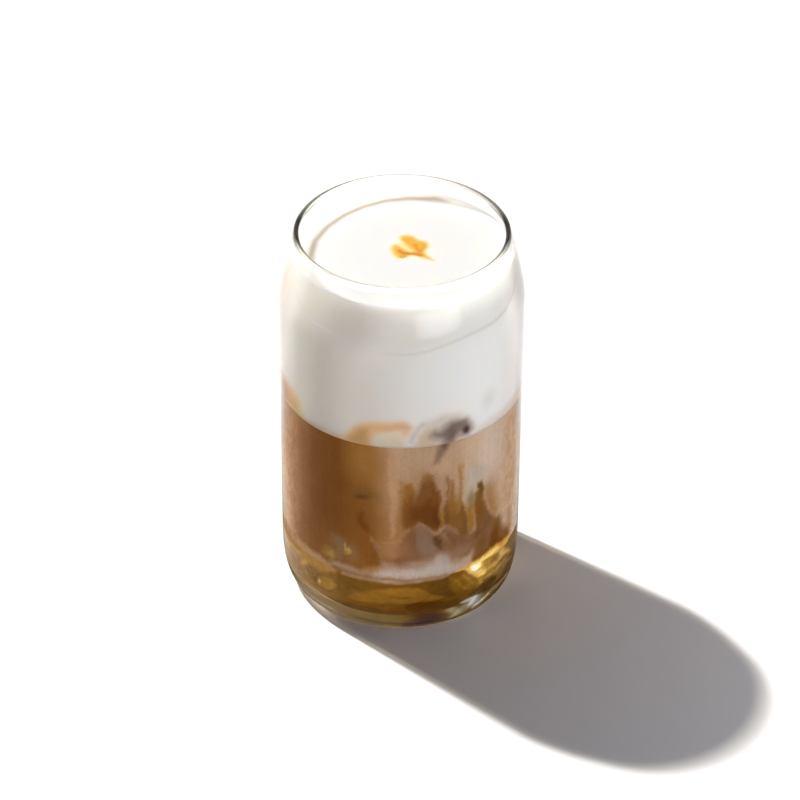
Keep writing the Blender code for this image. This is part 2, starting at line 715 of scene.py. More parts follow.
class ShaderSheet:
    """The nodes of a material, of the world or of a light, with short ways to join them."""

    def __init__(self, owner: bpy.types.Material | bpy.types.World | bpy.types.Light) -> None:
        """Takes the nodes as they are.

        Args:
            owner: What the nodes belong to.
        """
        owner.use_nodes = True
        self.owner = owner
        self.tree = owner.node_tree

    @classmethod
    def of_material(cls, name: str) -> "ShaderSheet":
        """Starts a material.

        Args:
            name: The material's name.

        Returns:
            Its sheet, with nothing on it but the output.
        """
        sheet = cls(bpy.data.materials.new(name))
        sheet.tree.nodes.clear()
        sheet.add("OutputMaterial")
        return sheet

    @property
    def output(self) -> bpy.types.Node:
        """The output of a material."""
        return self.tree.nodes["Material Output"]

    def add(self, kind: str, **values: object) -> bpy.types.Node:
        """Adds a node.

        Args:
            kind: The node's type without the leading ShaderNode.
            **values: Input values, by the socket's name with underscores for spaces.

        Returns:
            The node.
        """
        node = self.tree.nodes.new("ShaderNode" + kind)
        for name, value in values.items():
            node.inputs[name.replace("_", " ")].default_value = value
        return node

    def join(self, source: Socket, target: Socket) -> None:
        """Links one socket to another."""
        self.tree.links.new(source, target)

    def show(self, source: Socket) -> None:
        """Makes a shader the material's surface."""
        self.join(source, self.output.inputs["Surface"])

    def stored(self, name: str, output: str = "Color") -> Socket:
        """Reads what the mesh stores.

        Args:
            name: The name that it is stored under.
            output: Which output is read, Color for a colour or Fac for a number.

        Returns:
            The socket with the value.
        """
        node = self.tree.nodes.new("ShaderNodeAttribute")
        node.attribute_name = name
        return node.outputs[output]

    def place(self, kind: str, axis: str) -> Socket:
        """Reads where the point lies.

        Args:
            kind: The kind of coordinates, as the output that gives them is named.
            axis: The axis, X, Y or Z.

        Returns:
            The socket with the coordinate.
        """
        apart = self.add("SeparateXYZ")
        self.join(self.add("TexCoord").outputs[kind], apart.inputs["Vector"])
        return apart.outputs[axis]

    def facing(self) -> Socket:
        """Reads how far the surface is turned away, from 0 to 1."""
        return self.add("LayerWeight", Blend=0.5).outputs["Facing"]

    def ramp(
        self,
        source: Socket,
        low: float,
        high: float,
        start: float = 0.0,
        end: float = 1.0,
        eased: bool = False,
    ) -> Socket:
        """Turns one range of values into another, and holds them at its ends.

        Args:
            source: The values.
            low: The value that becomes the start.
            high: The value that becomes the end.
            start: The new range's start.
            end: The new range's end.
            eased: Whether the values ease in and out.

        Returns:
            The new values.
        """
        node = self.add("MapRange", From_Min=low, From_Max=high, To_Min=start, To_Max=end)
        node.interpolation_type = "SMOOTHSTEP" if eased else "LINEAR"
        self.join(source, node.inputs["Value"])
        return node.outputs["Result"]

    def combine(self, operation: str, first: Socket, second: Socket | float) -> Socket:
        """Works out a value from two.

        Args:
            operation: What is done with them, as the Math node names it.
            first: The first value.
            second: The second value, as a socket or a number.

        Returns:
            The socket with the new value.
        """
        node = self.add("Math")
        node.operation = operation
        self.join(first, node.inputs[0])
        if isinstance(second, Socket):
            self.join(second, node.inputs[1])
        else:
            node.inputs[1].default_value = second
        return node.outputs["Value"]

    def mix_colours(self, factor: Socket, low: Colour | Socket, high: Colour | Socket) -> Socket:
        """Mixes two colours.

        Args:
            factor: How much of the second colour shows.
            low: The first colour, as a colour or a socket.
            high: The second colour, as a colour or a socket.

        Returns:
            The socket with the mixed colour.
        """
        node = self.tree.nodes.new("ShaderNodeMix")
        node.data_type = "RGBA"
        self.join(factor, node.inputs["Factor"])
        for place, value in ((MIX_FIRST, low), (MIX_SECOND, high)):
            if isinstance(value, Socket):
                self.join(value, node.inputs[place])
            else:
                node.inputs[place].default_value = (*value, 1.0)
        return node.outputs[MIX_RESULT]

    def mix_shaders(self, factor: Socket, first: bpy.types.Node, second: bpy.types.Node) -> Socket:
        """Mixes the shaders of two nodes.

        Args:
            factor: How much of the second shader shows.
            first: The first node.
            second: The second node.

        Returns:
            The socket with the mixed shader.
        """
        node = self.add("MixShader")
        self.join(factor, node.inputs["Fac"])
        self.join(first.outputs["BSDF"], node.inputs[1])
        self.join(second.outputs["BSDF"], node.inputs[2])
        return node.outputs["Shader"]


@dataclass(frozen=True)
class ClearFinish:
    """A clear, refracting finish, whose shadow is let through with a tint.

    The thick foot throws light aside, so its shadow is dark. The mesh's paint tints the glass
    and holds painted shade, its glow gives painted glints and painted light, and its gloss is a
    painted darkening of the reflections.
    """

    name: str
    ior: float
    roughness: float
    absorb_colour: Colour
    absorb_density: float
    shadow_face: Colour
    shadow_edge: Colour
    shadow_foot: Colour
    foot_below: float = 0.008
    clear_above: float = 0.018

    def material(self) -> bpy.types.Material:
        """Makes the material.

        Returns:
            The material.
        """
        sheet = ShaderSheet.of_material(self.name)
        clear = sheet.add(
            "BsdfPrincipled",
            Transmission_Weight=1.0,
            Roughness=self.roughness,
            IOR=self.ior,
            Emission_Strength=1.0,
        )
        # The paint holds painted shade, the glow painted glints and light, the gloss a painted
        # darkening of reflections
        sheet.join(sheet.stored(PAINT), clear.inputs["Base Color"])
        sheet.join(sheet.stored(GLOW), clear.inputs["Emission Color"])
        sheet.join(sheet.stored(GLOSS), clear.inputs["Specular Tint"])
        tint = sheet.mix_colours(sheet.facing(), self.shadow_face, self.shadow_edge)
        above_foot = sheet.ramp(sheet.place("Object", "Z"), self.foot_below, self.clear_above)
        let_through = sheet.add("BsdfTransparent")
        shadow = sheet.mix_colours(above_foot, self.shadow_foot, tint)
        sheet.join(shadow, let_through.inputs["Color"])
        in_shadow = sheet.add("LightPath").outputs["Is Shadow Ray"]
        sheet.show(sheet.mix_shaders(in_shadow, clear, let_through))
        absorb = sheet.add(
            "VolumeAbsorption", Color=(*self.absorb_colour, 1.0), Density=self.absorb_density
        )
        sheet.join(absorb.outputs["Volume"], sheet.output.inputs["Volume"])
        return sheet.owner


@dataclass(frozen=True)
class PaintedFinish:
    """A cloudy finish that takes its colour from the mesh's paint.

    Where the mesh's wall number is 1 it touches the glass, and there it turns into a mirror
    for light that runs along inside the glass, as a liquid does behind a denser wall. The
    mesh's glow adds painted light where more is seen than paint can give.
    """

    name: str
    roughness: float
    glows: bool = False
    subsurface: float = 0.0
    subsurface_reach: float = 0.002
    subsurface_radius: Colour = (1.0, 0.7, 0.4)
    specular: float = 0.3
    mirror_from: float = 0.56
    mirror_full: float = 0.62

    def material(self) -> bpy.types.Material:
        """Makes the material.

        Returns:
            The material.
        """
        sheet = ShaderSheet.of_material(self.name)
        body = sheet.add(
            "BsdfPrincipled",
            Subsurface_Weight=self.subsurface,
            Subsurface_Scale=self.subsurface_reach,
            Subsurface_Radius=self.subsurface_radius,
            Specular_IOR_Level=self.specular,
        )
        grazing = sheet.ramp(sheet.facing(), self.mirror_from, self.mirror_full)
        mirror = sheet.combine("MULTIPLY", grazing, sheet.stored(WALL, "Fac"))
        sheet.join(mirror, body.inputs["Metallic"])
        roughness = sheet.ramp(mirror, 0.0, 1.0, self.roughness, 0.0)
        sheet.join(roughness, body.inputs["Roughness"])
        colour = sheet.mix_colours(mirror, sheet.stored(PAINT), WHITE)
        sheet.join(colour, body.inputs["Base Color"])
        # The glow is painted light
        if self.glows:
            body.inputs["Emission Strength"].default_value = 1.0
            sheet.join(sheet.stored(GLOW), body.inputs["Emission Color"])
        sheet.show(body.outputs["BSDF"])
        return sheet.owner


# Painted shade on the thick foot: tints and dark lines that darken what is seen through it, for the
# dark surroundings that it would bend into sight
FOOT_SHADES: tuple[Mark, ...] = (
    Region(((-75, 8), (-40, 8.6), (-10, 8.4), (-8, 1), (-40, 1), (-75, 3)), (0.5, 0.48, 0.6), 1),
    Region(((0, 1.6), (2, 5.4), (10, 7.2), (20, 7.4), (28, 6.4), (26, 3), (16, 1), (6, 0.8)),
           (0.36, 0.36, 0.42)),
    Region(((26, 7), (30, 9.6), (38, 11.4), (46, 10.6), (44, 5), (36, 3)), (0.5, 0.52, 0.6), 0.7,
           0.8),
    Stroke(((-30, 5.2), (-15, 4.5), (-4, 4.3), (5, 3.8), (13, 4.2), (20, 4.2)), 0.6,
           (0.08, 0.06, 0.04), 0.9),
    Stroke(((16, 4.4), (27, 2.8), (35, 2.2), (44, 2.2), (52, 2.8), (62, 4)), 0.65,
           (0.04, 0.035, 0.03), 0.95),
    Stroke(((42, 10.6), (50, 9.8), (60, 9.8), (74, 9)), 0.8, (0.16, 0.14, 0.11), 0.85),
    Stroke(((50, 4.8), (60, 5.2), (72, 6)), 0.6, (0.1, 0.09, 0.08), 0.85),
)

# Painted glints on the thick foot, for the light that it would bend into sight
FOOT_GLINTS: tuple[Mark, ...] = (
    Region(((-70, 2), (-60, 7), (-40, 8), (-10, 8), (10, 7.2), (20, 7.4), (28, 6.4), (26, 3),
           (16, 1), (-30, 0.8)), (0.012, 0.012, 0.018), 0.8, 1),
    Region(((28, 5.2), (32, 8.2), (38, 10), (44, 9.6), (42, 7), (38, 5.4), (33, 4.2)),
           ink(88, 94, 96), 0.7, 0.8),
    Region(((35, 6.6), (37, 9.2), (40.5, 9.8), (40, 8), (37.5, 6.2)), ink(160, 167, 172), 0.5, 0.8),
    Stroke(((38, 4.8), (44, 5.8), (51, 7.2)), 0.4, ink(180, 178, 172), 0.85),
    Stroke(((48, 7.4), (57, 7.4), (70, 7.6)), 0.45, ink(120, 115, 106)),
    Stroke(((-70, 6), (-56, 5), (-44, 4.6), (-32, 4.8)), 0.4, ink(140, 134, 124)),
)


@dataclass(frozen=True)
class Tumbler:
    """The clear glass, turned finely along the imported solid's form."""

    shape: TumblerShape
    columns: int = 480
    punt_step: float = 0.003
    straight_step: float = 0.01
    shoulder_step: float = 0.0015
    floor_step: float = 0.005
    corner_steps: int = 28
    lip_steps: int = 14
    finish: ClearFinish = ClearFinish(
        name="clear_glass",
        ior=1.5,
        roughness=0.0,
        absorb_colour=(0.75, 0.78, 0.50),
        absorb_density=12.0,
        shadow_face=(0.96, 0.96, 0.95),
        shadow_edge=(0.35, 0.34, 0.31),
        shadow_foot=(0.10, 0.085, 0.075),
    )
    lip_depth: float = 0.0022
    lip_sides: Rise = Rise(28.0, -19.6)
    # Painted shade on the lip to the left and right, painted light on its front and back, and a
    # painted darkening of its reflections at the sides
    lip_shade: Colour = (0.020, 0.016, 0.007)
    lip_glow: Colour = (0.20, 0.19, 0.155)
    lip_reflection_shade: Colour = (0.26, 0.21, 0.09)
    ring_margin: float = 0.0005
    floor_margin: float = 0.0001
    foot_mark_radius: float = 0.0362

    def profile(self) -> Profile:
        """Out under the foot, up the outside, over the lip, and down the inside.

        Returns:
            Radius and height of each point.
        """
        shape = self.shape
        ring_radius = shape.foot_ring_inner_radius
        punt = [
            (radius, shape.punt_depth * (1 - (radius / ring_radius) ** 2))
            for radius in spread(0.0, ring_radius, self.punt_step)
        ]
        foot_end = (shape.body_radius, shape.foot_curve_height)
        foot_power = shape.foot_curve_power
        foot = rounded_corner((shape.foot_radius, 0.0), foot_end, foot_power, self.corner_steps)
        outside = [(shape.outer_radius(z), z) for z in self.wall_heights(foot_end[1])]
        lip_radius = shape.rim_wall / 2
        lip_centre = shape.rim_radius - lip_radius
        lip = []
        for step in range(1, self.lip_steps):
            turn = math.pi * step / self.lip_steps
            across, up = lip_radius * math.cos(turn), lip_radius * math.sin(turn)
            lip.append((lip_centre + across, shape.shoulder_top + up))
        corner = shape.floor_corner(0.0, self.corner_steps)
        inside = [(shape.inner_radius(z), z) for z in self.wall_heights(corner[-1][1])]
        floor = level_line(shape.floor_height, shape.floor_radius, 0.0, self.floor_step)
        return punt + foot + outside + lip + inside[::-1] + corner[::-1] + floor[1:]

    def wall_heights(self, corner_end: float) -> list[float]:
        """Heights up the wall.

        Args:
            corner_end: Height where the corner below ends.

        Returns:
            The heights from above the corner's end to the lip.
        """
        start = self.shape.shoulder_start
        straight = spread(corner_end, start, self.straight_step)[1:]
        return straight + spread(start, self.shape.shoulder_top, self.shoulder_step)[1:]

    def build(self) -> bpy.types.Object:
        """Makes the glass.

        Returns:
            The piece.
        """
        turning = Turning(np.arange(self.columns) * 360.0 / self.columns)
        mesh = turning.mesh("tumbler", self.profile())
        piece = new_piece(mesh, Node.GLASS)
        self.mark(mesh)
        mesh.materials.append(self.finish.material())
        return piece

    def mark(self, mesh: bpy.types.Mesh) -> None:
        """Puts painted shade on the lip to the left and right, where the eye looks along inside the
        wall, and painted light on its front and back.

        The thick foot gets painted shade in dark lines and painted glints, for what it would bend
        into sight.

        Args:
            mesh: The glass's mesh.
        """
        points = points_of(mesh)
        places = Places.of_points(points)
        on_lip = points[:, 2] > self.shape.height - self.lip_depth
        at_sides = on_lip * self.lip_sides.at(np.abs(np.abs(places.turned) - SIDE))
        clear = np.ones((len(points), 3))
        # Painted shade on the lip's sides, and painted light on its front and back
        tint = mixed(clear, self.lip_shade, at_sides)
        glow = (on_lip * (1.0 - at_sides))[:, None] * np.asarray(self.lip_glow)
        radius = np.hypot(points[:, 0], points[:, 1])
        below_floor = points[:, 2] < self.shape.floor_height - self.floor_margin
        outside_ring = radius > self.shape.foot_ring_inner_radius + self.ring_margin
        on_foot = (below_floor & outside_ring) | (radius > self.foot_mark_radius)
        # Painted shade and painted glints on the thick foot
        for shade in FOOT_SHADES:
            tint = mixed(tint, shade.colour, shade.cover(places) * on_foot)
        for glint in FOOT_GLINTS:
            glow = mixed(glow, glint.colour, glint.cover(places) * on_foot)
        set_colours(mesh, PAINT, tint)
        set_colours(mesh, GLOW, glow)
        # A painted darkening of the lip's reflections at the sides
        set_colours(mesh, GLOSS, mixed(clear, self.lip_reflection_shade, at_sides))


WALL_LIGHT = WallLight(
    light=AngleRamp((
        (-180, (0.6, 0.6, 0.6)), (-100, (0.55, 0.55, 0.55)), (-80, (0.49, 0.48, 0.45)),
        (-70, (0.575, 0.56, 0.525)), (-60, (0.545, 0.52, 0.485)), (-50, (0.46, 0.435, 0.405)),
        (-40, (0.415, 0.385, 0.36)), (-30, (0.48, 0.45, 0.42)), (-20, (0.505, 0.48, 0.46)),
        (-10, (0.525, 0.505, 0.5)), (0, (0.575, 0.56, 0.565)), (10, (0.635, 0.615, 0.63)),
        (20, (0.68, 0.675, 0.69)), (30, (0.72, 0.72, 0.745)), (40, (0.745, 0.745, 0.775)),
        (50, (0.755, 0.76, 0.785)), (60, (0.74, 0.74, 0.765)), (70, (0.65, 0.66, 0.68)),
        (80, (0.475, 0.475, 0.475)), (100, (0.55, 0.55, 0.55)), (180, (0.6, 0.6, 0.6)),
    )),
    glare=AngleRamp((
        (-100, (0, 0, 0)), (-84, (0.52, 0.51, 0.5)), (-80, (0.41, 0.4, 0.39)),
        (-75, (0.24, 0.24, 0.23)), (-70, (0.12, 0.115, 0.11)), (-65, (0.05, 0.05, 0.05)),
        (-60, (0.01, 0.01, 0.01)), (-50, (0, 0, 0)), (50, (0, 0, 0)), (60, (0.01, 0.01, 0.01)),
        (65, (0.055, 0.055, 0.055)), (70, (0.13, 0.13, 0.13)), (75, (0.26, 0.26, 0.25)),
        (80, (0.45, 0.44, 0.44)), (84, (0.55, 0.54, 0.54)), (100, (0, 0, 0)),
    )),
)


@dataclass(frozen=True)
class Layer:
    """A turned layer of the drink, which reaches a little way into the glass."""

    name: ClassVar[str]
    node: ClassVar[Node]
    slot: ClassVar[Slot]
    finish: ClassVar[PaintedFinish]

    shape: TumblerShape
    bottom: float
    top: float
    reach: float = 0.0001
    front_step: float = 0.5
    back_step: float = 1.6

    @property
    def wall(self) -> float:
        """Radius of the layer behind the straight wall."""
        return self.shape.wall_radius + self.reach

    def profile(self) -> Profile:
        """Radius and height of each point, from the bottom's middle to the top's."""
        raise NotImplementedError

    def paint(self, mesh: bpy.types.Mesh) -> None:
        """Paints the layer's mesh."""
        raise NotImplementedError

    def build(self) -> bpy.types.Object:
        """Makes the layer, painted and with its finish.

        Returns:
            The piece.
        """
        turning = Turning.denser_in_front(self.front_step, self.back_step)
        mesh = turning.mesh(self.name, self.profile())
        piece = new_piece(mesh, self.node)
        self.paint(mesh)
        mesh.materials.append(self.finish.material())
        return piece


# The syrup's wall as it is seen; its pale tones at the far left and right hold painted reflection
# of the glass's glare
SYRUP_SEEN = AngleRamp((
    (-180, ink(112, 80, 30)), (-125, ink(122, 90, 42)), (-98, ink(160, 132, 94)),
    (-84, ink(218, 202, 184)), (-76, ink(198, 176, 150)), (-70, ink(178, 152, 120)),
    (-64, ink(164, 136, 103)), (-56, ink(150, 118, 80)), (-48, ink(128, 99, 60)),
    (-40, ink(126, 94, 50)), (-32, ink(112, 81, 35)), (-24, ink(106, 75, 28)),
    (-12, ink(117, 80, 27)), (0, ink(112, 75, 23)), (10, ink(98, 64, 13)), (22, ink(95, 65, 13)),
    (32, ink(114, 80, 25)), (42, ink(146, 108, 44)), (50, ink(142, 108, 50)),
    (60, ink(134, 104, 54)), (70, ink(116, 94, 60)), (78, ink(112, 93, 72)),
    (86, ink(184, 165, 142)), (100, ink(156, 126, 82)), (130, ink(122, 90, 42)),
    (180, ink(112, 80, 30)),
))

SYRUP_MARKS: tuple[Mark, ...] = (
    Region(((-30, 23), (-30, 20.6), (-14, 20.8), (-2, 20.2), (10, 20.4), (16, 20.8), (24, 21),
           (30, 23)), ink(142, 111, 80), 0.4, 1),
    Patch(-7, 21.8, 6, 0.9, ink(160, 136, 115), 0.8, softness=0.7),
    Patch(9, 21.6, 3.5, 0.7, ink(148, 121, 98), 0.8, softness=0.7),
    Region(((-128, 23), (-110, 20.5), (-86, 19.5), (-60, 19), (-46, 18), (-38, 19), (-33, 20.5),
           (-33, 23)), ink(153, 116, 64), 0.9, 0.85),
    Region(((-32, 20.6), (-20, 20.2), (0, 19.8), (12, 20.3), (14, 18.8), (2, 18.9), (-10, 18.3),
           (-20, 16.5), (-32, 17)), ink(103, 72, 24)),
    Region(((-27, 12.3), (-20, 15.3), (-12, 17.3), (-5, 18.7), (3, 19), (9, 18.6), (13, 17),
           (16, 15.4), (21, 14), (24, 12.6), (14, 12.3), (0, 12.5), (-14, 11.5), (-24, 11.2)),
           ink(135, 93, 30), 0.5, 1),
    Patch(2, 17, 8, 1.4, ink(143, 99, 30), softness=0.8),
    Patch(-20, 13.6, 5, 1.4, ink(139, 98, 36), softness=0.8),
    Patch(0, 13.4, 5, 0.9, ink(143, 101, 37), 0.8, softness=0.8),
    Patch(1, 14.8, 4.5, 0.45, ink(114, 75, 24), 0.8, softness=0.8),
    Region(((9, 12.2), (14.5, 15), (12.5, 13.8), (11, 12)), ink(100, 62, 13), 0.5, 0.8),
    Region(((13, 20.4), (20, 21), (24, 19.4), (26, 16), (29, 13.5), (32, 12.4), (28, 12.6),
           (24, 13.4), (20, 15), (15, 17.2)), ink(96, 65, 8), strength=1),
    Region(((25, 21), (32, 19.5), (38, 16.5), (42, 14), (40, 11.5), (30, 12.2), (27, 15)),
           ink(123, 88, 25), 0.7, 0.8),
    Region(((-28, 11.3), (-10, 11.8), (0, 12.2), (4, 11.5), (0, 9.5), (-28, 9.3)), ink(116, 74, 23),
           strength=0.85),
    Region(((2, 12), (12, 12.3), (22, 11.2), (24, 10), (14, 9), (4, 9.2)), ink(91, 56, 6), 0.5),
    Patch(24.5, 11.6, 2.6, 0.5, ink(126, 90, 26), 0.8, softness=0.8),
    Patch(35, 11.4, 3, 0.7, ink(121, 85, 25), softness=0.8),
    # The bubble with a painted highlight, and painted glints to the left
    Stroke(((-46.5, 11.5), (-47, 14), (-44.5, 16), (-40, 17.5)), 0.4, ink(104, 77, 38), 0.85),
    Region(((-45, 12.8), (-44.8, 14.3), (-42.5, 15.6), (-39, 16.8), (-35, 17), (-33, 15.8),
           (-33.6, 14.4), (-36, 12.6), (-39.5, 11.6), (-43, 11.6)), ink(142, 106, 50), 0.5, 1),
    Patch(-40, 14.3, 2.8, 1.3, ink(154, 116, 60), 0.6),
    Patch(-44.4, 13.4, 0.9, 1.2, ink(196, 168, 112)),
    Stroke(((-45, 11), (-40, 10.8), (-36, 11.8), (-33.3, 13.8)), 0.32, ink(110, 80, 38), 0.8),
    Region(((-60, 15.2), (-58, 15.8), (-54, 18.2), (-50.5, 19.5), (-50, 18.6), (-53, 16.6),
           (-57, 14.6)), ink(184, 144, 84), strength=0.75),
    Stroke(((-53, 20), (-50, 17.2), (-48.5, 14), (-50, 11.5)), 0.45, ink(118, 92, 50), 0.6),
    # Painted light: the gold that the syrup gathers to the right, with its white-hot glints
    Region(((44, 23), (46, 21.6), (52, 21.1), (60, 20.9), (66, 21), (71, 23)), ink(205, 165, 92),
           0.45, 0.95),
    Region(((33.3, 23), (35.5, 20), (38.5, 18.2), (41.5, 16.2), (45.5, 15.6), (48.5, 16.2),
           (47.5, 18), (45, 19.8), (46, 23)), ink(222, 180, 92), 0.5, 1),
    Region(((40.5, 18.6), (43.5, 19), (47.5, 17), (46, 16), (42.5, 17)), ink(241, 206, 122), 0.4),
    Region(((35.8, 23), (37.8, 20.2), (41, 19.2), (43.2, 20), (44, 23)), ink(255, 247, 205), 0.45,
           1),
    Region(((37.5, 21.7), (40, 20.3), (41.8, 20.5), (41, 21.9)), ink(255, 255, 245), 0.35, 1),
    Region(((41.5, 16), (44, 15.5), (45.5, 13), (44, 12.6), (42, 14)), ink(186, 146, 60), 0.45),
    Region(((47, 14.5), (50, 17.5), (53, 19.4), (57, 18.7), (59, 16.5), (62, 15), (58, 12.8),
           (50, 13)), ink(170, 134, 66), 0.9),
    Patch(48, 19.6, 3.4, 1.6, ink(174, 136, 66), 0.8, softness=0.8),
    Patch(37.5, 15.4, 2.6, 1.8, ink(142, 106, 42), 0.8, softness=0.8),
    Region(((57.5, 20.4), (59.5, 20.4), (62, 19), (65.5, 18.4), (69.5, 16.6), (70.5, 15.6),
           (68, 15.8), (64.5, 17), (61.5, 18)), ink(212, 170, 98), 0.8, 0.8),
    Patch(60.5, 19.4, 2.6, 0.9, ink(228, 190, 116)),
    Stroke(((27, 19.5), (31, 16.5), (35, 13.8), (40, 12.2)), 0.5, ink(146, 108, 38), 0.8),
    Stroke(((31, 20.8), (35, 17.6), (39, 14.8), (43, 13.2)), 0.4, ink(158, 120, 48), 0.75),
    Stroke(((48, 20.6), (52, 17.8), (56, 15.4), (60, 14.2)), 0.35, ink(186, 146, 72), 0.8),
    Stroke(((51, 20.9), (55, 18.4), (59, 16.4), (63, 15)), 0.3, ink(110, 82, 36)),
    Stroke(((49, 16.2), (54, 14), (60, 12.2)), 0.35, ink(150, 116, 58)),
    Stroke(((38, 17.6), (48, 17.2), (58, 17.6), (68, 18)), 0.28, ink(226, 184, 98)),
    Stroke(((42, 16), (52, 15.6), (62, 16), (72, 16.2)), 0.26, ink(112, 82, 28), 0.65),
    Stroke(((40, 14.8), (50, 14.6), (60, 14.8), (68, 15)), 0.26, ink(190, 150, 74), 0.6),
    Stroke(((48, 19.4), (56, 18.9), (64, 19.6)), 0.26, ink(122, 92, 38), 0.6),
    Stroke(((44, 13.4), (54, 13.3), (66, 13.6)), 0.24, ink(96, 68, 26), 0.6),
    Stroke(((64, 13.8), (70, 12.2), (76, 11)), 0.4, ink(160, 134, 98)),
    Stroke(((-64, 19.6), (-58, 17.6), (-54, 14.4), (-53, 11.6)), 0.4, ink(176, 146, 106), 0.6),
    Stroke(((-70, 16), (-64, 13.4), (-60, 10.2)), 0.4, ink(150, 124, 92), 0.6),
    Patch(52, 18.4, 1.6, 0.5, ink(165, 126, 64), softness=0.8),
    Patch(61, 14.5, 2.5, 1, ink(157, 123, 77), 0.8, softness=0.8),
    Patch(64, 12.6, 2.5, 0.8, ink(150, 118, 76), softness=0.8),
    Region(((36, 10.6), (42, 11.3), (48, 12.9), (53, 12.7), (58, 11), (56, 9.4), (48, 8.6),
           (40, 9.2)), ink(92, 64, 30), 0.8),
    # Down at the floor, with a painted white glint and a painted glinting line to the right
    Region(((-76, 5.5), (-60, 8.3), (-34, 8.5), (0, 8), (20, 8.5), (32, 9.3), (44, 9), (60, 8),
           (76, 5.5), (76, 4), (-76, 4)), ink(98, 72, 38), 0.4),
    Region(((-130, 5), (-110, 8), (-84, 9), (-60, 8.6), (-46, 8), (-34, 6.6), (-40, 4), (-130, 4)),
           ink(160, 134, 100), strength=0.7),
    Stroke(((-36, 8.9), (-10, 8.7), (10, 8.5), (24, 9.2), (33, 10.2)), 0.3, ink(96, 57, 21), 0.9,
           0.1),
    Region(((33.5, 7.6), (36, 8.4), (40, 8.5), (43.5, 7.6), (46, 6.8), (44, 6), (38, 6.2),
           (34.5, 6.8)), ink(190, 188, 182), 0.4, 1),
    Stroke(((44, 6.6), (50, 6.1), (56, 5.9), (64, 5.6), (76, 5.4)), 0.22, ink(190, 182, 180), 0.8),
)

# The syrup seen from below through the foot, by x and y in millimetres from the axis; its pale
# spots are painted glints and its darkest spots painted shade
UNDERSIDE_SPOTS: tuple[Mark, ...] = (
    Patch(-14, 4, 7, 9, ink(132, 114, 84), 0.9, softness=0.8),
    Patch(-9, -8, 5, 3.5, ink(112, 92, 58), 0.9, softness=0.7),
    Patch(-1.5, -10.5, 3, 2.5, ink(90, 74, 46), 0.9, softness=0.7),
    Patch(6, -9.5, 4, 3.5, ink(54, 46, 30), 0.95, softness=0.6),
    Patch(11.5, -5.6, 1.6, 1.4, ink(150, 144, 130), 0.9, softness=0.7),
    Patch(15.2, 0.2, 1.3, 2.2, ink(140, 138, 132), 0.95, softness=0.6),
    Patch(16, 9.5, 3, 6, ink(70, 60, 44), 0.9, softness=0.6),
)


@dataclass(frozen=True)
class Syrup(Layer):
    """The caramel syrup in the rounded floor of the glass, golden with the light it gathers, which
    is painted on it.
    """

    name: ClassVar[str] = "syrup"
    node: ClassVar[Node] = Node.SYRUP
    slot: ClassVar[Slot] = Slot.SYRUP
    finish: ClassVar[PaintedFinish] = PaintedFinish(
        name="caramel_syrup", roughness=0.2, glows=True, specular=0.0
    )

    corner_steps: int = 90
    floor_step: float = 0.0005
    side_step: float = 0.00025
    top_step: float = 0.006
    sway: Unevenness = Unevenness(90, 2.0, 31, octaves=3, strength=1.1)
    lift: Unevenness = Unevenness(90, 3.0, 32, octaves=3, strength=0.35)
    grain: Unevenness = Unevenness(160, 1.6, 33, octaves=3, strength=0.10)
    slant: Unevenness = Unevenness(110, 0.9, 34, octaves=2, strength=0.18)
    slant_slope: float = 0.16
    slant_end: float = 80.0
    lively: Rise = Rise(26.0, 14.0, height=0.5)
    underside: Colour = ink(104, 82, 46)
    on_floor: Rise = Rise(5.25, -0.3)
    on_wall: Rise = Rise(8.0, 3.0)

    def profile(self) -> Profile:
        """From the axis along the floor, up the wall, and back along the top.

        Returns:
            Radius and height of each point.
        """
        corner = self.shape.floor_corner(self.reach, self.corner_steps)
        floor = level_line(corner[0][1], 0.0, corner[0][0], self.floor_step)
        side = [(self.wall, z) for z in spread(corner[-1][1], self.top, self.side_step)[1:]]
        back = level_line(self.top, self.wall, 0.0, self.top_step)
        return floor[:-1] + corner + side + back[1:]

    def paint(self, mesh: bpy.types.Mesh) -> None:
        """Paints the wall with its marks, and the underside with its spots.

        Args:
            mesh: The syrup's mesh.
        """
        points = points_of(mesh)
        places = Places.of_points(points)
        moved = places.moved(self.sway.at(places), self.lift.at(places))
        needed = WALL_LIGHT.needed(SYRUP_SEEN.at(places), places)
        needed = WALL_LIGHT.laid_over(needed, SYRUP_MARKS, moved)
        lowering = self.slant_slope * np.clip(places.turned, 0.0, self.slant_end)
        slant = self.slant.at(places.moved(0.0, -lowering))
        slant *= 1.0 + self.lively.at(places.turned)
        needed *= (1.0 + self.grain.at(places) + slant)[:, None]
        from_below = Places(points[:, 0] / MILLIMETRE, points[:, 1] / MILLIMETRE)
        under = WALL_LIGHT.needed(self.underside, places)
        for spot in UNDERSIDE_SPOTS:
            colour = WALL_LIGHT.needed(spot.colour, places)
            under = mixed(under, colour, spot.cover(from_below))
        needed = mixed(needed, under, self.on_floor.at(places.heights))
        # The paint, with painted light as a glow where the syrup is seen brighter than paint
        WALL_LIGHT.coat(mesh, needed, places)
        set_number(mesh, WALL, self.on_wall.at(places.heights))


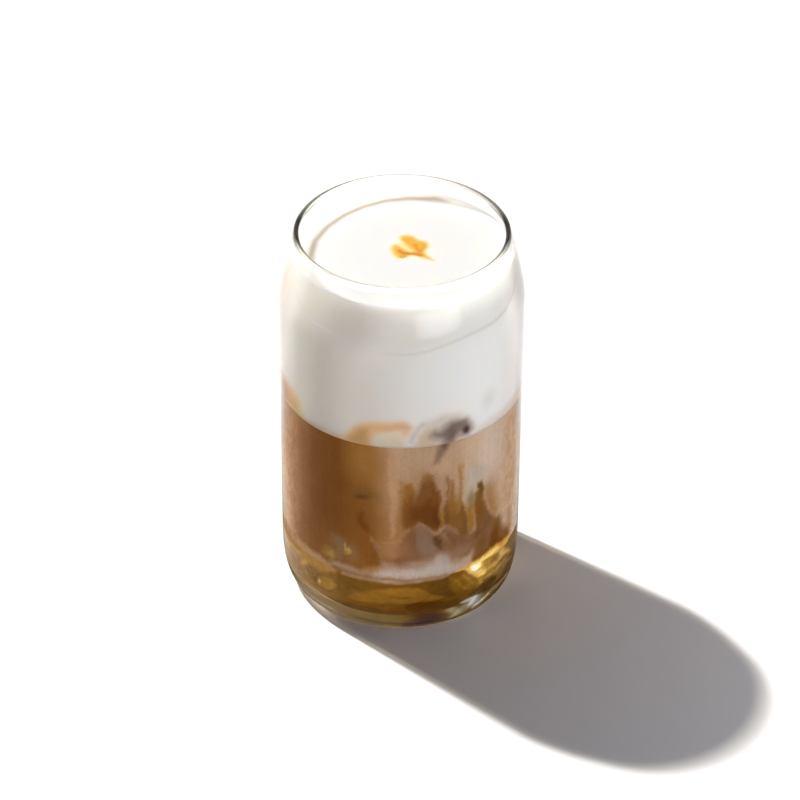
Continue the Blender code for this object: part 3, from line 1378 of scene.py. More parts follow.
# The milky coffee as it is seen; its pale tones at the far left and right are partly painted
# reflection of the glass's glare, most of all low down
LATTE_SEEN = AngleRamp((
    (-180, ink(124, 87, 52)), (-125, ink(130, 94, 60)), (-98, ink(164, 132, 102)),
    (-84, ink(218, 204, 190)), (-77, ink(203, 176, 150)), (-70, ink(186, 153, 125)),
    (-64, ink(163, 129, 98)), (-56, ink(138, 101, 69)), (-48, ink(115, 79, 46)),
    (-40, ink(105, 69, 32)), (-30, ink(107, 67, 27)), (-22, ink(115, 75, 31)),
    (-14, ink(128, 86, 43)), (-6, ink(146, 105, 64)), (0, ink(150, 112, 75)),
    (10, ink(156, 119, 86)), (20, ink(163, 128, 100)), (32, ink(178, 148, 120)),
    (46, ink(184, 162, 140)), (58, ink(181, 151, 124)), (70, ink(184, 156, 131)),
    (78, ink(205, 187, 170)), (86, ink(212, 196, 180)), (98, ink(164, 132, 102)),
    (125, ink(130, 94, 60)), (180, ink(124, 87, 52)),
))

LATTE_MARKS: tuple[Mark, ...] = (
    # Milk drawn down from the cream
    Region(((-9, 76), (-6, 60), (-4, 52), (0, 45), (2, 58), (8, 63), (20, 62), (28, 64), (34, 76)),
           ink(165, 139, 115), 5, 0.8),
    Patch(-17, 67, 9, 7, ink(138, 98, 50), 0.75),
    Patch(48, 64, 11, 12, ink(193, 175, 160), 0.8),
    Patch(36, 69, 7, 5, ink(187, 158, 132), 0.6),
    Patch(24, 65, 6, 3.5, ink(178, 146, 118), 0.6),
    Region(((-56, 38), (-22, 36), (-20, 22), (-60, 22)), ink(122, 83, 47), 5, 0.5),
    Patch(-20, 43, 9, 9, ink(107, 67, 29), 0.55),
    Region(((-5, 76), (0.5, 76), (-0.5, 58), (-2, 50), (-4.5, 58)), ink(168, 139, 114), 1.2),
    Region(((-4.8, 70), (-2.2, 70), (-2.2, 56), (-2.6, 39), (-4.4, 39)), ink(166, 131, 98), 0.9),
    Region(((-1, 61), (1.2, 60), (1.2, 50), (0.4, 39), (-1.6, 39), (-1, 50)), ink(143, 101, 50),
           0.9, 0.8),
    Region(((23.5, 76), (19.5, 76), (16.5, 68.5), (15.5, 66), (18.5, 66.5), (21.5, 70), (23, 72)),
           ink(112, 88, 70), 1.1, 0.85),
    Patch(21.3, 72.5, 1.4, 1.4, ink(92, 68, 52), 0.8, softness=0.8),
    # Fingers of coffee
    Region(((1, 58), (2.4, 59.7), (5.2, 59.5), (6.4, 57.5), (6.2, 50), (6, 44), (1.5, 41),
           (0.6, 50)), ink(133, 89, 41), 0.8, 1),
    Region(((2, 52), (6, 56), (8, 50), (8, 44), (3, 42), (1.8, 46)), ink(112, 70, 33), 1.3, 1),
    Region(((8, 56), (9, 59), (10.5, 61.5), (13, 62.5), (15.5, 61.2), (17, 58.5), (18.5, 55),
           (19.5, 52), (20, 46), (20.3, 42), (18, 40.3), (14, 40.8), (10, 43), (6, 41), (4, 43),
           (3.5, 47), (4.5, 50), (6.5, 52)), ink(112, 70, 30), 0.9, 1),
    Patch(12.6, 61.2, 3.2, 2, ink(138, 97, 58), 0.6),
    Patch(12.5, 55.5, 3, 3.5, ink(119, 80, 47), 0.5),
    Region(((5, 50), (10, 50), (16, 54), (18.5, 54), (19, 46), (19.5, 42), (15, 41.3), (10, 45),
           (5, 45)), ink(99, 58, 22), 1.3, 1),
    Region(((16, 56), (18.3, 54.5), (18.8, 47), (19.6, 42), (17, 41.5), (16.5, 48)),
           ink(92, 53, 16), 0.8, 0.8),
    Region(((18.6, 56), (20.3, 55), (21, 50), (21.4, 46), (22, 43), (21, 41.5), (20, 42.5),
           (19.2, 50)), ink(131, 87, 36), 0.5),
    Stroke(((20.7, 48.5), (20.9, 45.5), (21.4, 42.5)), 0.45, ink(156, 113, 46), 0.9),
    Region(((18.4, 61), (21.5, 62), (22, 55), (21.8, 50), (21.3, 47.2), (20.6, 49), (20.2, 55),
           (19, 58)), ink(161, 131, 104), strength=1),
    Region(((22.7, 60.8), (23.8, 60.8), (24.4, 56), (24.1, 50), (24, 45), (22, 45), (22.5, 50),
           (22.9, 56)), ink(127, 87, 52), 0.5, 0.95),
    Stroke(((24.6, 59.5), (25, 56), (25, 53)), 0.35, ink(160, 113, 75)),
    Region(((25.2, 58.5), (26.3, 58.5), (27, 55), (26.7, 52), (27.5, 47), (24.5, 47), (25, 52)),
           ink(136, 96, 45), 0.5),
    Region(((22, 51), (28, 50), (31, 47), (33, 44), (34, 38), (30, 36), (26, 40), (22, 42),
           (21.5, 46)), ink(124, 84, 42), 0.9, 1),
    Region(((22, 49.5), (24, 49), (24.5, 44), (24, 42), (22, 43), (21.6, 46)), ink(104, 68, 29)),
    Stroke(((27.3, 53), (26.9, 49.5), (26.3, 46.5)), 0.7, ink(152, 110, 70), 0.6),
    Region(((28.9, 63), (31, 63), (31.5, 58), (30.8, 54), (30.6, 50), (31.5, 46), (28.4, 45),
           (28, 49), (29, 54), (29.5, 58)), ink(150, 108, 58), strength=0.95),
    Patch(30, 62.3, 1.6, 1.8, ink(168, 132, 86)),
    Region(((30.4, 50), (33, 46.5), (34, 44), (34.6, 40), (33, 38), (31.2, 42), (30, 46)),
           ink(118, 80, 35), 0.7),
    # The streak of milk between the fingers, and the gold under it
    Region(((33.2, 67), (38, 68), (40.5, 60), (39.2, 54), (38.3, 50), (37.8, 47.5), (36.5, 46.3),
           (34.8, 47.5), (33.2, 50), (32.2, 54), (32.6, 60)), ink(179, 156, 134), 1.1, 1),
    Region(((35, 61), (38.5, 59), (38, 50), (37, 47.8), (35.5, 48.8), (34, 53)), ink(177, 167, 152),
           1.1),
    Patch(41.6, 57.6, 3.4, 2.4, ink(170, 159, 147), 0.75),
    Region(((33.3, 46), (34.8, 45.5), (36.5, 46), (38.2, 46), (38.8, 42), (39, 38), (38, 35.7),
           (36, 36), (34.8, 39), (34.3, 42)), ink(147, 102, 42), strength=1),
    Region(((35.6, 46.6), (37.6, 46.3), (38.1, 43), (36.8, 42.3)), ink(164, 124, 68)),
    Stroke(((33.2, 47), (33.6, 45), (34.4, 42.5)), 0.4, ink(167, 128, 74), 0.9),
    Region(((40.2, 53.2), (41.3, 54.1), (42.8, 54), (44.2, 52.6), (44.6, 51), (43.9, 49),
           (44.2, 46), (45.3, 44), (46.5, 42), (48.5, 40), (51, 37), (49, 34), (41, 34), (39.5, 37),
           (39.2, 42), (38.2, 46), (38.3, 49), (39, 50.8), (40.8, 51.5)), ink(121, 82, 37), 0.55,
           1),
    Region(((41, 53.4), (42.3, 53.9), (44, 52.6), (44.4, 50.5), (43.8, 48.5), (42, 49),
           (42.3, 51.5)), ink(87, 65, 24), 0.55, 0.95),
    Region(((38.6, 50), (40.5, 51), (41, 49), (40, 47), (38.3, 46.8)), ink(112, 84, 38),
           strength=0.8),
    Patch(42.3, 42, 2.4, 3.6, ink(127, 78, 30), 0.8),
    Stroke(((43.9, 49.5), (44.2, 46.5), (45.2, 44), (47, 41.5)), 0.4, ink(97, 68, 33), 0.75),
    # Gold and brown to the right
    Region(((45.5, 50), (50, 49), (55, 44), (56, 38), (52, 36), (48, 40), (46, 44)),
           ink(162, 124, 80), 2, 0.8),
    Patch(25.5, 49.5, 2.8, 4, ink(138, 92, 44), 0.75),
    Patch(36.5, 48.5, 2.6, 3.6, ink(130, 98, 54), 0.8),
    Patch(48.5, 48.5, 4.5, 5, ink(154, 112, 62), 0.6),
    Patch(17, 52.5, 2, 2.4, ink(120, 78, 34)),
    Region(((47, 45), (51, 44), (53.5, 39), (50.5, 39)), ink(151, 108, 60), 1.3, 0.8),
    Region(((39, 36), (46, 41), (50, 38.5), (54, 36.3), (57, 35.5), (60, 31), (64, 28.5),
           (68, 24.5), (70, 21), (38, 21), (38, 30)), ink(123, 85, 50), 1.2, 0.97),
    Patch(46.5, 37, 2.4, 3.6, ink(112, 80, 58), 0.8, -0.4),
    Patch(49.5, 31.5, 1.8, 3.6, ink(129, 91, 63)),
    Region(((51.5, 33), (53.5, 35.5), (56.5, 36), (57.5, 33), (55, 30), (52.5, 30)),
           ink(117, 84, 45), 0.9),
    Region(((51, 30), (54, 33), (56, 31), (58, 27), (62, 24.5), (66, 23), (52, 23), (49, 26)),
           ink(104, 62, 22), 1.2, 0.95),
    Patch(44, 28.5, 3.5, 3.6, ink(111, 77, 38), 0.75),
    Patch(67.5, 28.5, 2.6, 4.6, ink(138, 105, 78), 0.6),
    Patch(64, 26, 3.6, 2, ink(112, 72, 38)),
    Region(((38.5, 26), (50, 25.6), (53, 24.6), (39, 24)), ink(117, 70, 31), strength=0.8),
    # The cloud of milk that rises from the syrup
    Region(((3, 40), (6, 42.5), (10, 44.2), (13, 42.3), (16, 39.8), (20, 39.5), (23, 41.3),
           (26, 40), (30, 36), (35, 33.5), (41, 33), (40, 30), (36, 27), (28, 26), (22, 28),
           (10, 26), (0, 26), (-3, 30), (0, 35), (2, 38)), ink(124, 88, 62), 0.7, 1),
    Region(((2, 40), (7, 41.5), (8, 38), (6, 34), (3, 36)), ink(116, 78, 47), 0.9, 0.8),
    Region(((8, 41.5), (10.2, 43.4), (14.5, 40), (16, 37), (17, 34), (16, 32), (11, 33), (8, 35),
           (7.5, 38)), ink(126, 98, 78), 0.8),
    Patch(12.6, 34.5, 3, 3, ink(134, 106, 88)),
    Patch(16.2, 33.2, 1.8, 1.6, ink(136, 106, 86)),
    Region(((16.5, 38.3), (19.5, 38), (20.5, 35.5), (21, 32.5), (20, 31.8), (18.5, 34),
           (16.8, 36.5)), ink(88, 60, 35), 0.55),
    Region(((20, 39.8), (23, 41), (26, 39), (28, 36), (26, 33), (22, 34), (20.5, 37)),
           ink(127, 91, 64), strength=0.8),
    Stroke(((24, 38.8), (26, 36), (28.5, 33)), 0.8, ink(106, 73, 48), 0.6),
    Stroke(((22, 39.6), (22.6, 37), (24, 35.2)), 0.6, ink(149, 114, 86), 0.6),
    Region(((28, 36), (34, 39), (36, 36), (40, 35), (44, 34), (40, 32.5), (34, 33)),
           ink(112, 72, 38), 0.9, 0.8),
    Region(((31, 40), (33.5, 44), (34.6, 40), (36, 36.5), (34, 34.5), (31, 36)), ink(112, 78, 37),
           0.8, 0.8),
    Stroke(((6, 41.6), (9.6, 44.1), (12, 42.8), (14.5, 40.8), (16.5, 39.3), (18.8, 39.1),
           (21, 40.8), (23.5, 41.7)), 0.45, ink(151, 115, 88), 0.8),
    Patch(31, 29.5, 5, 2.2, ink(141, 109, 84)),
    # The wedge, its wisps and the spot to the left
    Region(((-19.5, 47.4), (-18.3, 47), (-16.5, 44), (-15, 41.5), (-14.6, 38), (-12.8, 35.5),
           (-11.5, 32), (-9, 29), (-9, 26), (-17, 25.5), (-19, 30), (-20, 36), (-21.2, 41),
           (-21, 45)), ink(118, 74, 31), 0.9, 0.85),
    Region(((-19.8, 47), (-18.3, 46.8), (-16.8, 43.5), (-15.3, 41.5), (-16.5, 40), (-18.5, 40.5),
           (-20.8, 42.5), (-20.9, 45)), ink(96, 56, 17), 0.8),
    Patch(-13.5, 29.8, 2.8, 3.2, ink(111, 70, 29)),
    Region(((-9, 33.5), (-7, 35.5), (-3, 36.5), (1, 36.5), (3, 33), (0, 31.5), (-3, 31),
           (-6, 31.3)), ink(147, 107, 73), 0.8, 0.8),
    Patch(2.5, 34, 2.8, 3.4, ink(131, 91, 62)),
    Region(((-9, 31), (-5, 30.8), (0, 30.8), (4, 31), (3, 28.5), (-6, 28.3), (-9, 29.5)),
           ink(123, 82, 47), 0.7, 0.7),
    Stroke(((-14.6, 38.6), (-13, 36.5), (-11, 35), (-8.5, 34.3)), 0.4, ink(151, 113, 80)),
    Stroke(((-10, 35.8), (-6, 36.8), (-3, 36.8), (0, 37.8), (3, 37.4)), 0.55, ink(157, 117, 80)),
    Stroke(((-12.5, 35.5), (-11.5, 33.5), (-9.5, 31.5), (-8, 29)), 0.5, ink(136, 100, 76), 0.6),
    Patch(-18.5, 54.4, 5.6, 2.2, ink(104, 76, 35), 0.75),
    Patch(-19, 53.2, 3.4, 0.9, ink(80, 57, 26), 0.95),
    # The droplet on the wall and the smears beside it
    Region(((-35.3, 34.3), (-31, 35.4), (-28.5, 34.6), (-28, 31), (-29, 27), (-31, 25.5),
           (-33.3, 27), (-33, 31), (-35.3, 32.5)), ink(120, 97, 69), 1.3, 0.65),
    Patch(-24, 30.3, 2.8, 3.6, ink(129, 99, 66), 0.5, softness=0.8),
    Region(((-28.2, 34.3), (-27.6, 32.5), (-25, 32.4), (-23.9, 31), (-24.6, 29.5), (-27, 28.6),
           (-28.6, 29.6), (-28.7, 32)), ink(137, 107, 57), 0.3, 1),
    Stroke(((-28.2, 34), (-28.1, 32), (-28.4, 30.2)), 0.3, ink(158, 131, 80), 0.9, 0.3),
    Patch(-25.8, 31, 1.3, 0.9, ink(165, 137, 84), 0.85, softness=0.7),
    Patch(-26.9, 32.7, 0.6, 0.8, ink(99, 71, 28), 0.9, softness=0.6),
    Stroke(((-28.6, 28.9), (-27, 28.2), (-25, 28.8), (-23.6, 30.4)), 0.3, ink(106, 78, 34), 0.9),
    Region(((-42, 26), (-40, 29.5), (-36, 30.5), (-33.2, 29.5), (-33, 27.5), (-35, 25.8),
           (-38, 25.3)), ink(128, 99, 52), 0.8, 0.85),
    Patch(-36, 27.2, 2, 1.3, ink(144, 118, 66), 0.8, softness=0.8),
    # Milk along the syrup
    Region(((-128, 21), (-112, 23.6), (-85, 24.8), (-60, 24.4), (-42, 24.3), (-36, 23.2), (-36, 20),
           (-128, 20)), ink(160, 131, 96), 1, 0.85),
    Stroke(((-44, 25.3), (-40, 25.2), (-37, 24.7)), 0.5, ink(114, 80, 34), 0.8),
    Region(((-20, 25), (-13, 26.8), (-8, 26.8), (-9, 24.3), (-18, 24.2)), ink(150, 109, 62),
           strength=0.8),
    Region(((-9, 28.3), (-5, 28.5), (-1, 27.2), (4, 28.3), (10, 29.3), (16, 30.8), (20, 31.5),
           (24, 30.5), (26, 28), (30, 27.2), (35, 25), (30, 23), (-10, 24)), ink(152, 127, 106),
           1.5),
    Region(((-36, 24.8), (-30, 25.1), (-22, 24.4), (-14, 24.3), (-10, 23.6), (-10, 22.8),
           (-36, 23.2)), ink(156, 131, 106), 1, 0.85),
    Region(((-13, 24), (-6, 25.8), (0, 25.6), (6, 26), (10, 26.3), (15, 28), (19, 29.8), (23, 29.3),
           (25, 27), (28, 25.6), (33, 24.8), (37, 23.4), (30, 22.6), (-13, 22.7)),
           ink(169, 153, 141), 1.2, 0.95),
    Region(((-9, 24.8), (0, 25), (8, 25.2), (14, 26.2), (20, 27.5), (24, 26), (30, 24.6), (30, 23),
           (-8, 23)), ink(175, 162, 152), 1),
    Patch(8.5, 28.3, 3, 0.9, ink(160, 128, 98), 0.6, softness=0.8),
    Patch(28, 26.6, 2.6, 1, ink(158, 128, 102), 0.6, softness=0.8),
    Stroke(((-45, 22), (-20, 22.1), (10, 22.1), (34, 22.2)), 0.42, ink(136, 108, 80), end_fade=0.1),
    # Painted light gathered by the syrup
    Region(((29, 22.7), (36, 23.2), (42, 24), (50, 24.5), (58, 24.2), (66, 23.6), (72, 21),
           (27, 21)), ink(205, 156, 78)),
    Region(((38, 22.8), (46, 23.7), (53, 23.6), (57, 22.6), (52, 21), (37, 21)), ink(255, 220, 125),
           strength=0.95),
)


@dataclass(frozen=True)
class Latte(Layer):
    """The milky coffee in the middle, marbled where the syrup and the cream meet it."""

    name: ClassVar[str] = "latte"
    node: ClassVar[Node] = Node.LATTE
    slot: ClassVar[Slot] = Slot.LATTE
    finish: ClassVar[PaintedFinish] = PaintedFinish(
        name="milky_coffee", roughness=0.4, glows=True, specular=0.0
    )

    bottom_step: float = 0.003
    row_step: float = 0.00034
    top_step: float = 0.009
    sway: Unevenness = Unevenness(72, 4.0, 11, octaves=4, strength=1.2)
    lift: Unevenness = Unevenness(72, 5.0, 12, octaves=4, strength=0.8)
    veins: Unevenness = Unevenness(300, 16.0, 13, octaves=2, strength=0.05)
    clouds: Unevenness = Unevenness(40, 9.0, 14, octaves=3, strength=0.06)
    grain: Unevenness = Unevenness(150, 2.0, 15, octaves=2)
    grain_share: float = 0.04
    coarse_grain: float = 0.18
    jitter_seed: int = 16
    jitter_sway: float = 0.336
    jitter_lift: float = 0.224
    jitter_shade: float = 0.035
    coarse_shade: float = 0.03
    coarse_from: Rise = Rise(52.0, 16.0)
    coarse_up_to: Rise = Rise(112.0, -22.0)

    def profile(self) -> Profile:
        """Out along the bottom, up the wall and back along the top.

        Returns:
            Radius and height of each point.
        """
        bottom = level_line(self.bottom, 0.0, self.wall, self.bottom_step)
        side = [(self.wall, z) for z in spread(self.bottom, self.top, self.row_step)[1:]]
        return bottom + side + level_line(self.top, self.wall, 0.0, self.top_step)[1:]

    def paint(self, mesh: bpy.types.Mesh) -> None:
        """Paints the marbling.

        Args:
            mesh: The layer's mesh.
        """
        places = Places.of_points(points_of(mesh))
        random = np.random.default_rng(self.jitter_seed)
        jitter = random.normal(0.0, 1.0, (3, len(places.angles)))
        sway = self.sway.at(places) + self.jitter_sway * jitter[0]
        lift = self.lift.at(places) + self.jitter_lift * jitter[1]
        needed = WALL_LIGHT.needed(LATTE_SEEN.at(places), places)
        needed = WALL_LIGHT.laid_over(needed, LATTE_MARKS, places.moved(sway, lift))
        aside = np.abs(places.turned)
        coarse = self.coarse_from.at(aside) * self.coarse_up_to.at(aside)
        shade = 1.0 + self.clouds.at(places) + self.veins.at(places)
        shade += (self.grain_share + self.coarse_grain * coarse) * self.grain.at(places)
        shade += (self.jitter_shade + self.coarse_shade * coarse) * jitter[2]
        # The paint, with painted light as a glow where the coffee is seen brighter than paint
        WALL_LIGHT.coat(mesh, needed * shade[:, None], places)
        set_number(mesh, WALL, np.ones(len(aside)))


# The cream's own white, the painted shade that darkens it towards the left and right edges where
# the glass adds glare, and the marks on it as they are seen
CREAM_WHITE = ink(251, 247, 242)
CREAM_SIDE_SHADE = AngleRamp((
    (-180, (0.95, 0.95, 0.95)), (-100, (0.88, 0.86, 0.84)), (-78, (0.8, 0.79, 0.78)),
    (-70, (0.92, 0.91, 0.9)), (-64, (1, 0.995, 0.99)), (-50, (0.965, 0.965, 0.965)),
    (-40, (1, 1, 1)), (50, (1, 1, 1)), (60, (0.95, 0.95, 0.95)), (68, (0.9, 0.9, 0.9)),
    (76, (0.68, 0.68, 0.68)), (84, (0.62, 0.62, 0.62)), (100, (0.86, 0.85, 0.84)),
    (180, (0.95, 0.95, 0.95)),
))

CREAM_MARKS: tuple[Mark, ...] = (
    Region(((-132, 72), (-120, 75.5), (-106, 79), (-90, 80.8), (-72, 80.8), (-60, 81), (-55.5, 79),
           (-53.5, 76.5), (-53.8, 72)), ink(200, 170, 136), 2, 0.95),
    Region(((-92, 72), (-92, 80), (-79, 80), (-79, 72)), ink(226, 204, 178), 2),
    Region(((-122, 72), (-108, 76), (-94, 78.5), (-80, 79), (-68, 78.5), (-58, 77.5), (-57, 72)),
           ink(186, 150, 114), 2, 0.6),
    Region(((-30.5, 72), (-27, 75.5), (-23.5, 78.5), (-19, 80.8), (-10, 82.3), (2, 82.8), (5, 81),
           (3.5, 78.5), (1.2, 76.8), (0, 78.4), (-3, 79.2), (-8, 78.6), (-12, 77), (-13.5, 74),
           (-14, 72)), ink(190, 158, 122), 1.6, 1),
    Region(((-29.5, 72), (-25, 76), (-20, 79.5), (-15, 79.5), (-16, 72)), ink(164, 127, 84), 1.8,
           0.95),
    Region(((-15, 80.8), (-6, 81.6), (3, 81.8), (3, 80.6), (-6, 79.8), (-14, 79)),
           ink(180, 150, 116), 1.2, 0.8),
    Region(((-13, 72), (-12, 76.5), (-8, 78), (-3, 78.8), (0, 77.5), (1.5, 75), (2.5, 72)),
           ink(192, 173, 156), 1.3, 0.95),
    Region(((4, 72), (7, 78.5), (12, 82.5), (20, 84), (29, 83), (35, 80), (37, 76), (33, 72)),
           ink(184, 170, 158), 1.6, 0.75),
    Region(((7.5, 72), (9, 77.5), (12.5, 79.5), (17, 79), (15.5, 76), (18, 72)), ink(181, 164, 142),
           0.9, 0.85),
    Stroke(((3.5, 74.5), (5.5, 77.5), (8, 80.5), (12, 82.6)), 0.9, ink(166, 158, 154), 0.55),
    Region(((14.5, 77), (16, 78.6), (19, 78.2), (21.5, 79.5), (24, 80.8), (28, 80.8), (33, 80.2),
           (35.2, 78), (35.6, 76), (34, 74.6), (31, 74.8), (29, 75.6), (27, 74), (26.6, 72),
           (20, 72), (20, 74.5), (17, 75.6)), ink(120, 104, 97), 1.5, 0.97),
    Patch(24.5, 76.5, 2.4, 3, ink(104, 87, 78), 0.8, softness=0.8),
    Patch(29.5, 79.3, 3.4, 1.2, ink(116, 98, 90), softness=0.8),
    Patch(32.2, 76.4, 1.9, 1.3, ink(62, 46, 36), 0.95, softness=0.7),
    Patch(21.3, 79.6, 2, 1, ink(163, 147, 138), 0.6, softness=0.8),
    Patch(28.6, 75, 1.8, 1.1, ink(150, 132, 118), 0.6, softness=0.8),
    Patch(46.5, 84, 4, 3, ink(198, 195, 197), 0.6),
    Region(((38, 72), (38, 75), (60, 76.5), (74, 77.5), (92, 76.5), (108, 74.5), (120, 72)),
           ink(205, 187, 172), 1.6, 0.75),
    Region(((-55, 72), (-54, 74.3), (-40, 74.6), (-29, 75), (-28, 72)), ink(168, 146, 124), 1, 0.7),
    Stroke(((-52, 73), (-20, 73), (6, 73)), 0.5, ink(170, 138, 108), 0.4, 0.2),
    # A painted shade line where the shoulder of the glass begins to lean in
    Stroke(((-67, 116.8), (-52, 111.5), (-32, 110.4), (-23, 108.7), (0, 107.3), (12, 108),
           (22, 109.4), (36, 110.6), (50, 110.8), (60, 111.8), (70, 114.4), (78, 118.2)), 0.42,
           ink(180, 176, 172), 0.5, 0.05),
    Patch(-80, 113, 5, 4, ink(238, 212, 188), 0.6),
)


@dataclass(frozen=True)
class CaramelDrop:
    """The small drop of caramel on the cream: two leaves on a stem with a drawn-out tail.

    Places are in millimetres from the axis. The thin edge melts into the cream, so drop and
    cream take their colours from the same rule.
    """

    level: float
    relief: float = 0.00025
    crown: Rise = Rise(0.0, 2.0)
    skirt: float = 0.35
    skirt_slope: float = 0.4
    thickness: float = 0.0002
    step: float = 0.18
    grid: tuple[float, float] = (-8.0, 12.0)
    outline: Path = (
        (-0.7, 7.4), (-0.2, 8.1), (1.5, 8.4), (3.2, 8.0), (4.2, 6.8), (5.0, 5.7), (7.0, 4.9),
        (7.9, 3.8), (8.0, 2.0), (7.3, 0.1), (6.9, -1.0), (7.3, -2.2), (8.1, -3.8), (9.6, -5.8),
        (8.0, -5.2), (6.5, -4.4), (5.0, -3.7), (3.2, -3.0), (2.2, -3.2), (1.3, -4.2),
        (0.0, -4.7), (-1.5, -4.4), (-2.5, -3.0), (-3.2, -1.0), (-3.4, 0.8), (-2.9, 2.5),
        (-2.0, 3.1), (-1.0, 2.4), (0.0, 1.2), (1.1, 0.2), (2.6, -0.9), (3.2, -0.6), (2.0, 1.0),
        (1.0, 2.6), (0.2, 4.4), (-0.5, 6.0),
    )
    film: Colour = ink(254, 226, 160)
    film_share: float = 0.75
    film_rise: Rise = Rise(-1.8, 2.0)
    film_line: FlatStroke = FlatStroke(
        ((-1.2, 4.6), (0.2, 2.6), (1.8, 0.6), (3.6, -1.2)), 1.1, film, 0.9
    )
    film_line_depth: float = 0.3
    thin: Colour = ink(254, 208, 126)
    thin_rise: Rise = Rise(-0.7, 1.3)
    thick: Colour = ink(250, 183, 66)
    thick_rise: Rise = Rise(0.1, 1.3)
    dark_rise: Rise = Rise(-0.1, 0.5)
    dark_lines: tuple[FlatStroke, ...] = (
        FlatStroke(
            ((-1.0, 0.4), (-0.6, -1.2), (0.5, -2.1), (3.0, -2.1), (5.0, -2.9), (6.8, -3.7)),
            0.8, ink(216, 132, 38), 0.8,
        ),
        FlatStroke(
            ((3.6, 3.6), (4.2, 1.6), (4.8, -0.4), (5.6, -1.8)), 0.8, ink(226, 148, 50), 0.7
        ),
        FlatStroke(((-1.0, -4.1), (0.4, -4.3), (1.4, -3.7)), 0.45, ink(214, 140, 60), 0.7),
        FlatStroke(((-0.2, 6.6), (1.2, 5.2), (2.2, 3.4)), 0.6, ink(238, 170, 44), 0.7),
    )
    finish: PaintedFinish = PaintedFinish(name="caramel_sauce", roughness=0.4, specular=0.15)

    def colour(self, x: np.ndarray, y: np.ndarray) -> np.ndarray:
        """The colour of the drop and of the cream round it.

        Args:
            x: The places' x in millimetres from the axis.
            y: The places' y in millimetres from the axis.

        Returns:
            The colours, one row each.
        """
        depth = depth_inside(x, y, self.outline)
        on_film_line = self.film_line.cover(x, y) * (depth < self.film_line_depth)
        colours = np.repeat([CREAM_WHITE], len(x), axis=0)
        colours = mixed(colours, self.film, self.film_share * self.film_rise.at(depth) ** 2)
        colours = mixed(colours, self.film, on_film_line)
        colours = mixed(colours, self.thin, self.thin_rise.at(depth))
        colours = mixed(colours, self.thick, self.thick_rise.at(depth))
        for line in self.dark_lines:
            colours = mixed(colours, line.colour, line.cover(x, y) * self.dark_rise.at(depth))
        return colours

    def build(self) -> bpy.types.Object:
        """Makes the drop as a thin relief whose edge sinks into the cream.

        Returns:
            The piece.
        """
        side = np.arange(*self.grid, self.step)
        x, y = np.meshgrid(side, side)
        depth = depth_inside(x, y, self.outline)
        kept = depth > -self.skirt
        rise = np.where(depth > 0, self.crown.at(depth), depth * self.skirt_slope)
        index = np.full(kept.shape, -1)
        index[kept] = np.arange(kept.sum())
        quarters = [index[:-1, :-1], index[:-1, 1:], index[1:, 1:], index[1:, :-1]]
        corners = np.stack(quarters, axis=-1).reshape(-1, 4)
        faces = corners[(corners >= 0).all(axis=1)]
        x, y, height = x[kept], y[kept], self.level + self.relief * rise[kept]
        points = np.stack([x * MILLIMETRE, y * MILLIMETRE, height], axis=1)
        mesh = bpy.data.meshes.new("caramel_drop")
        mesh.from_pydata(points.tolist(), [], faces.tolist())
        mesh.shade_smooth()
        set_colours(mesh, PAINT, self.colour(x, y))
        mesh.materials.append(self.finish.material())
        piece = new_piece(mesh, None)
        piece.visible_shadow = False
        solid = piece.modifiers.new("thickness", "SOLIDIFY")
        solid.thickness = self.thickness
        solid.offset = -1.0
        return piece


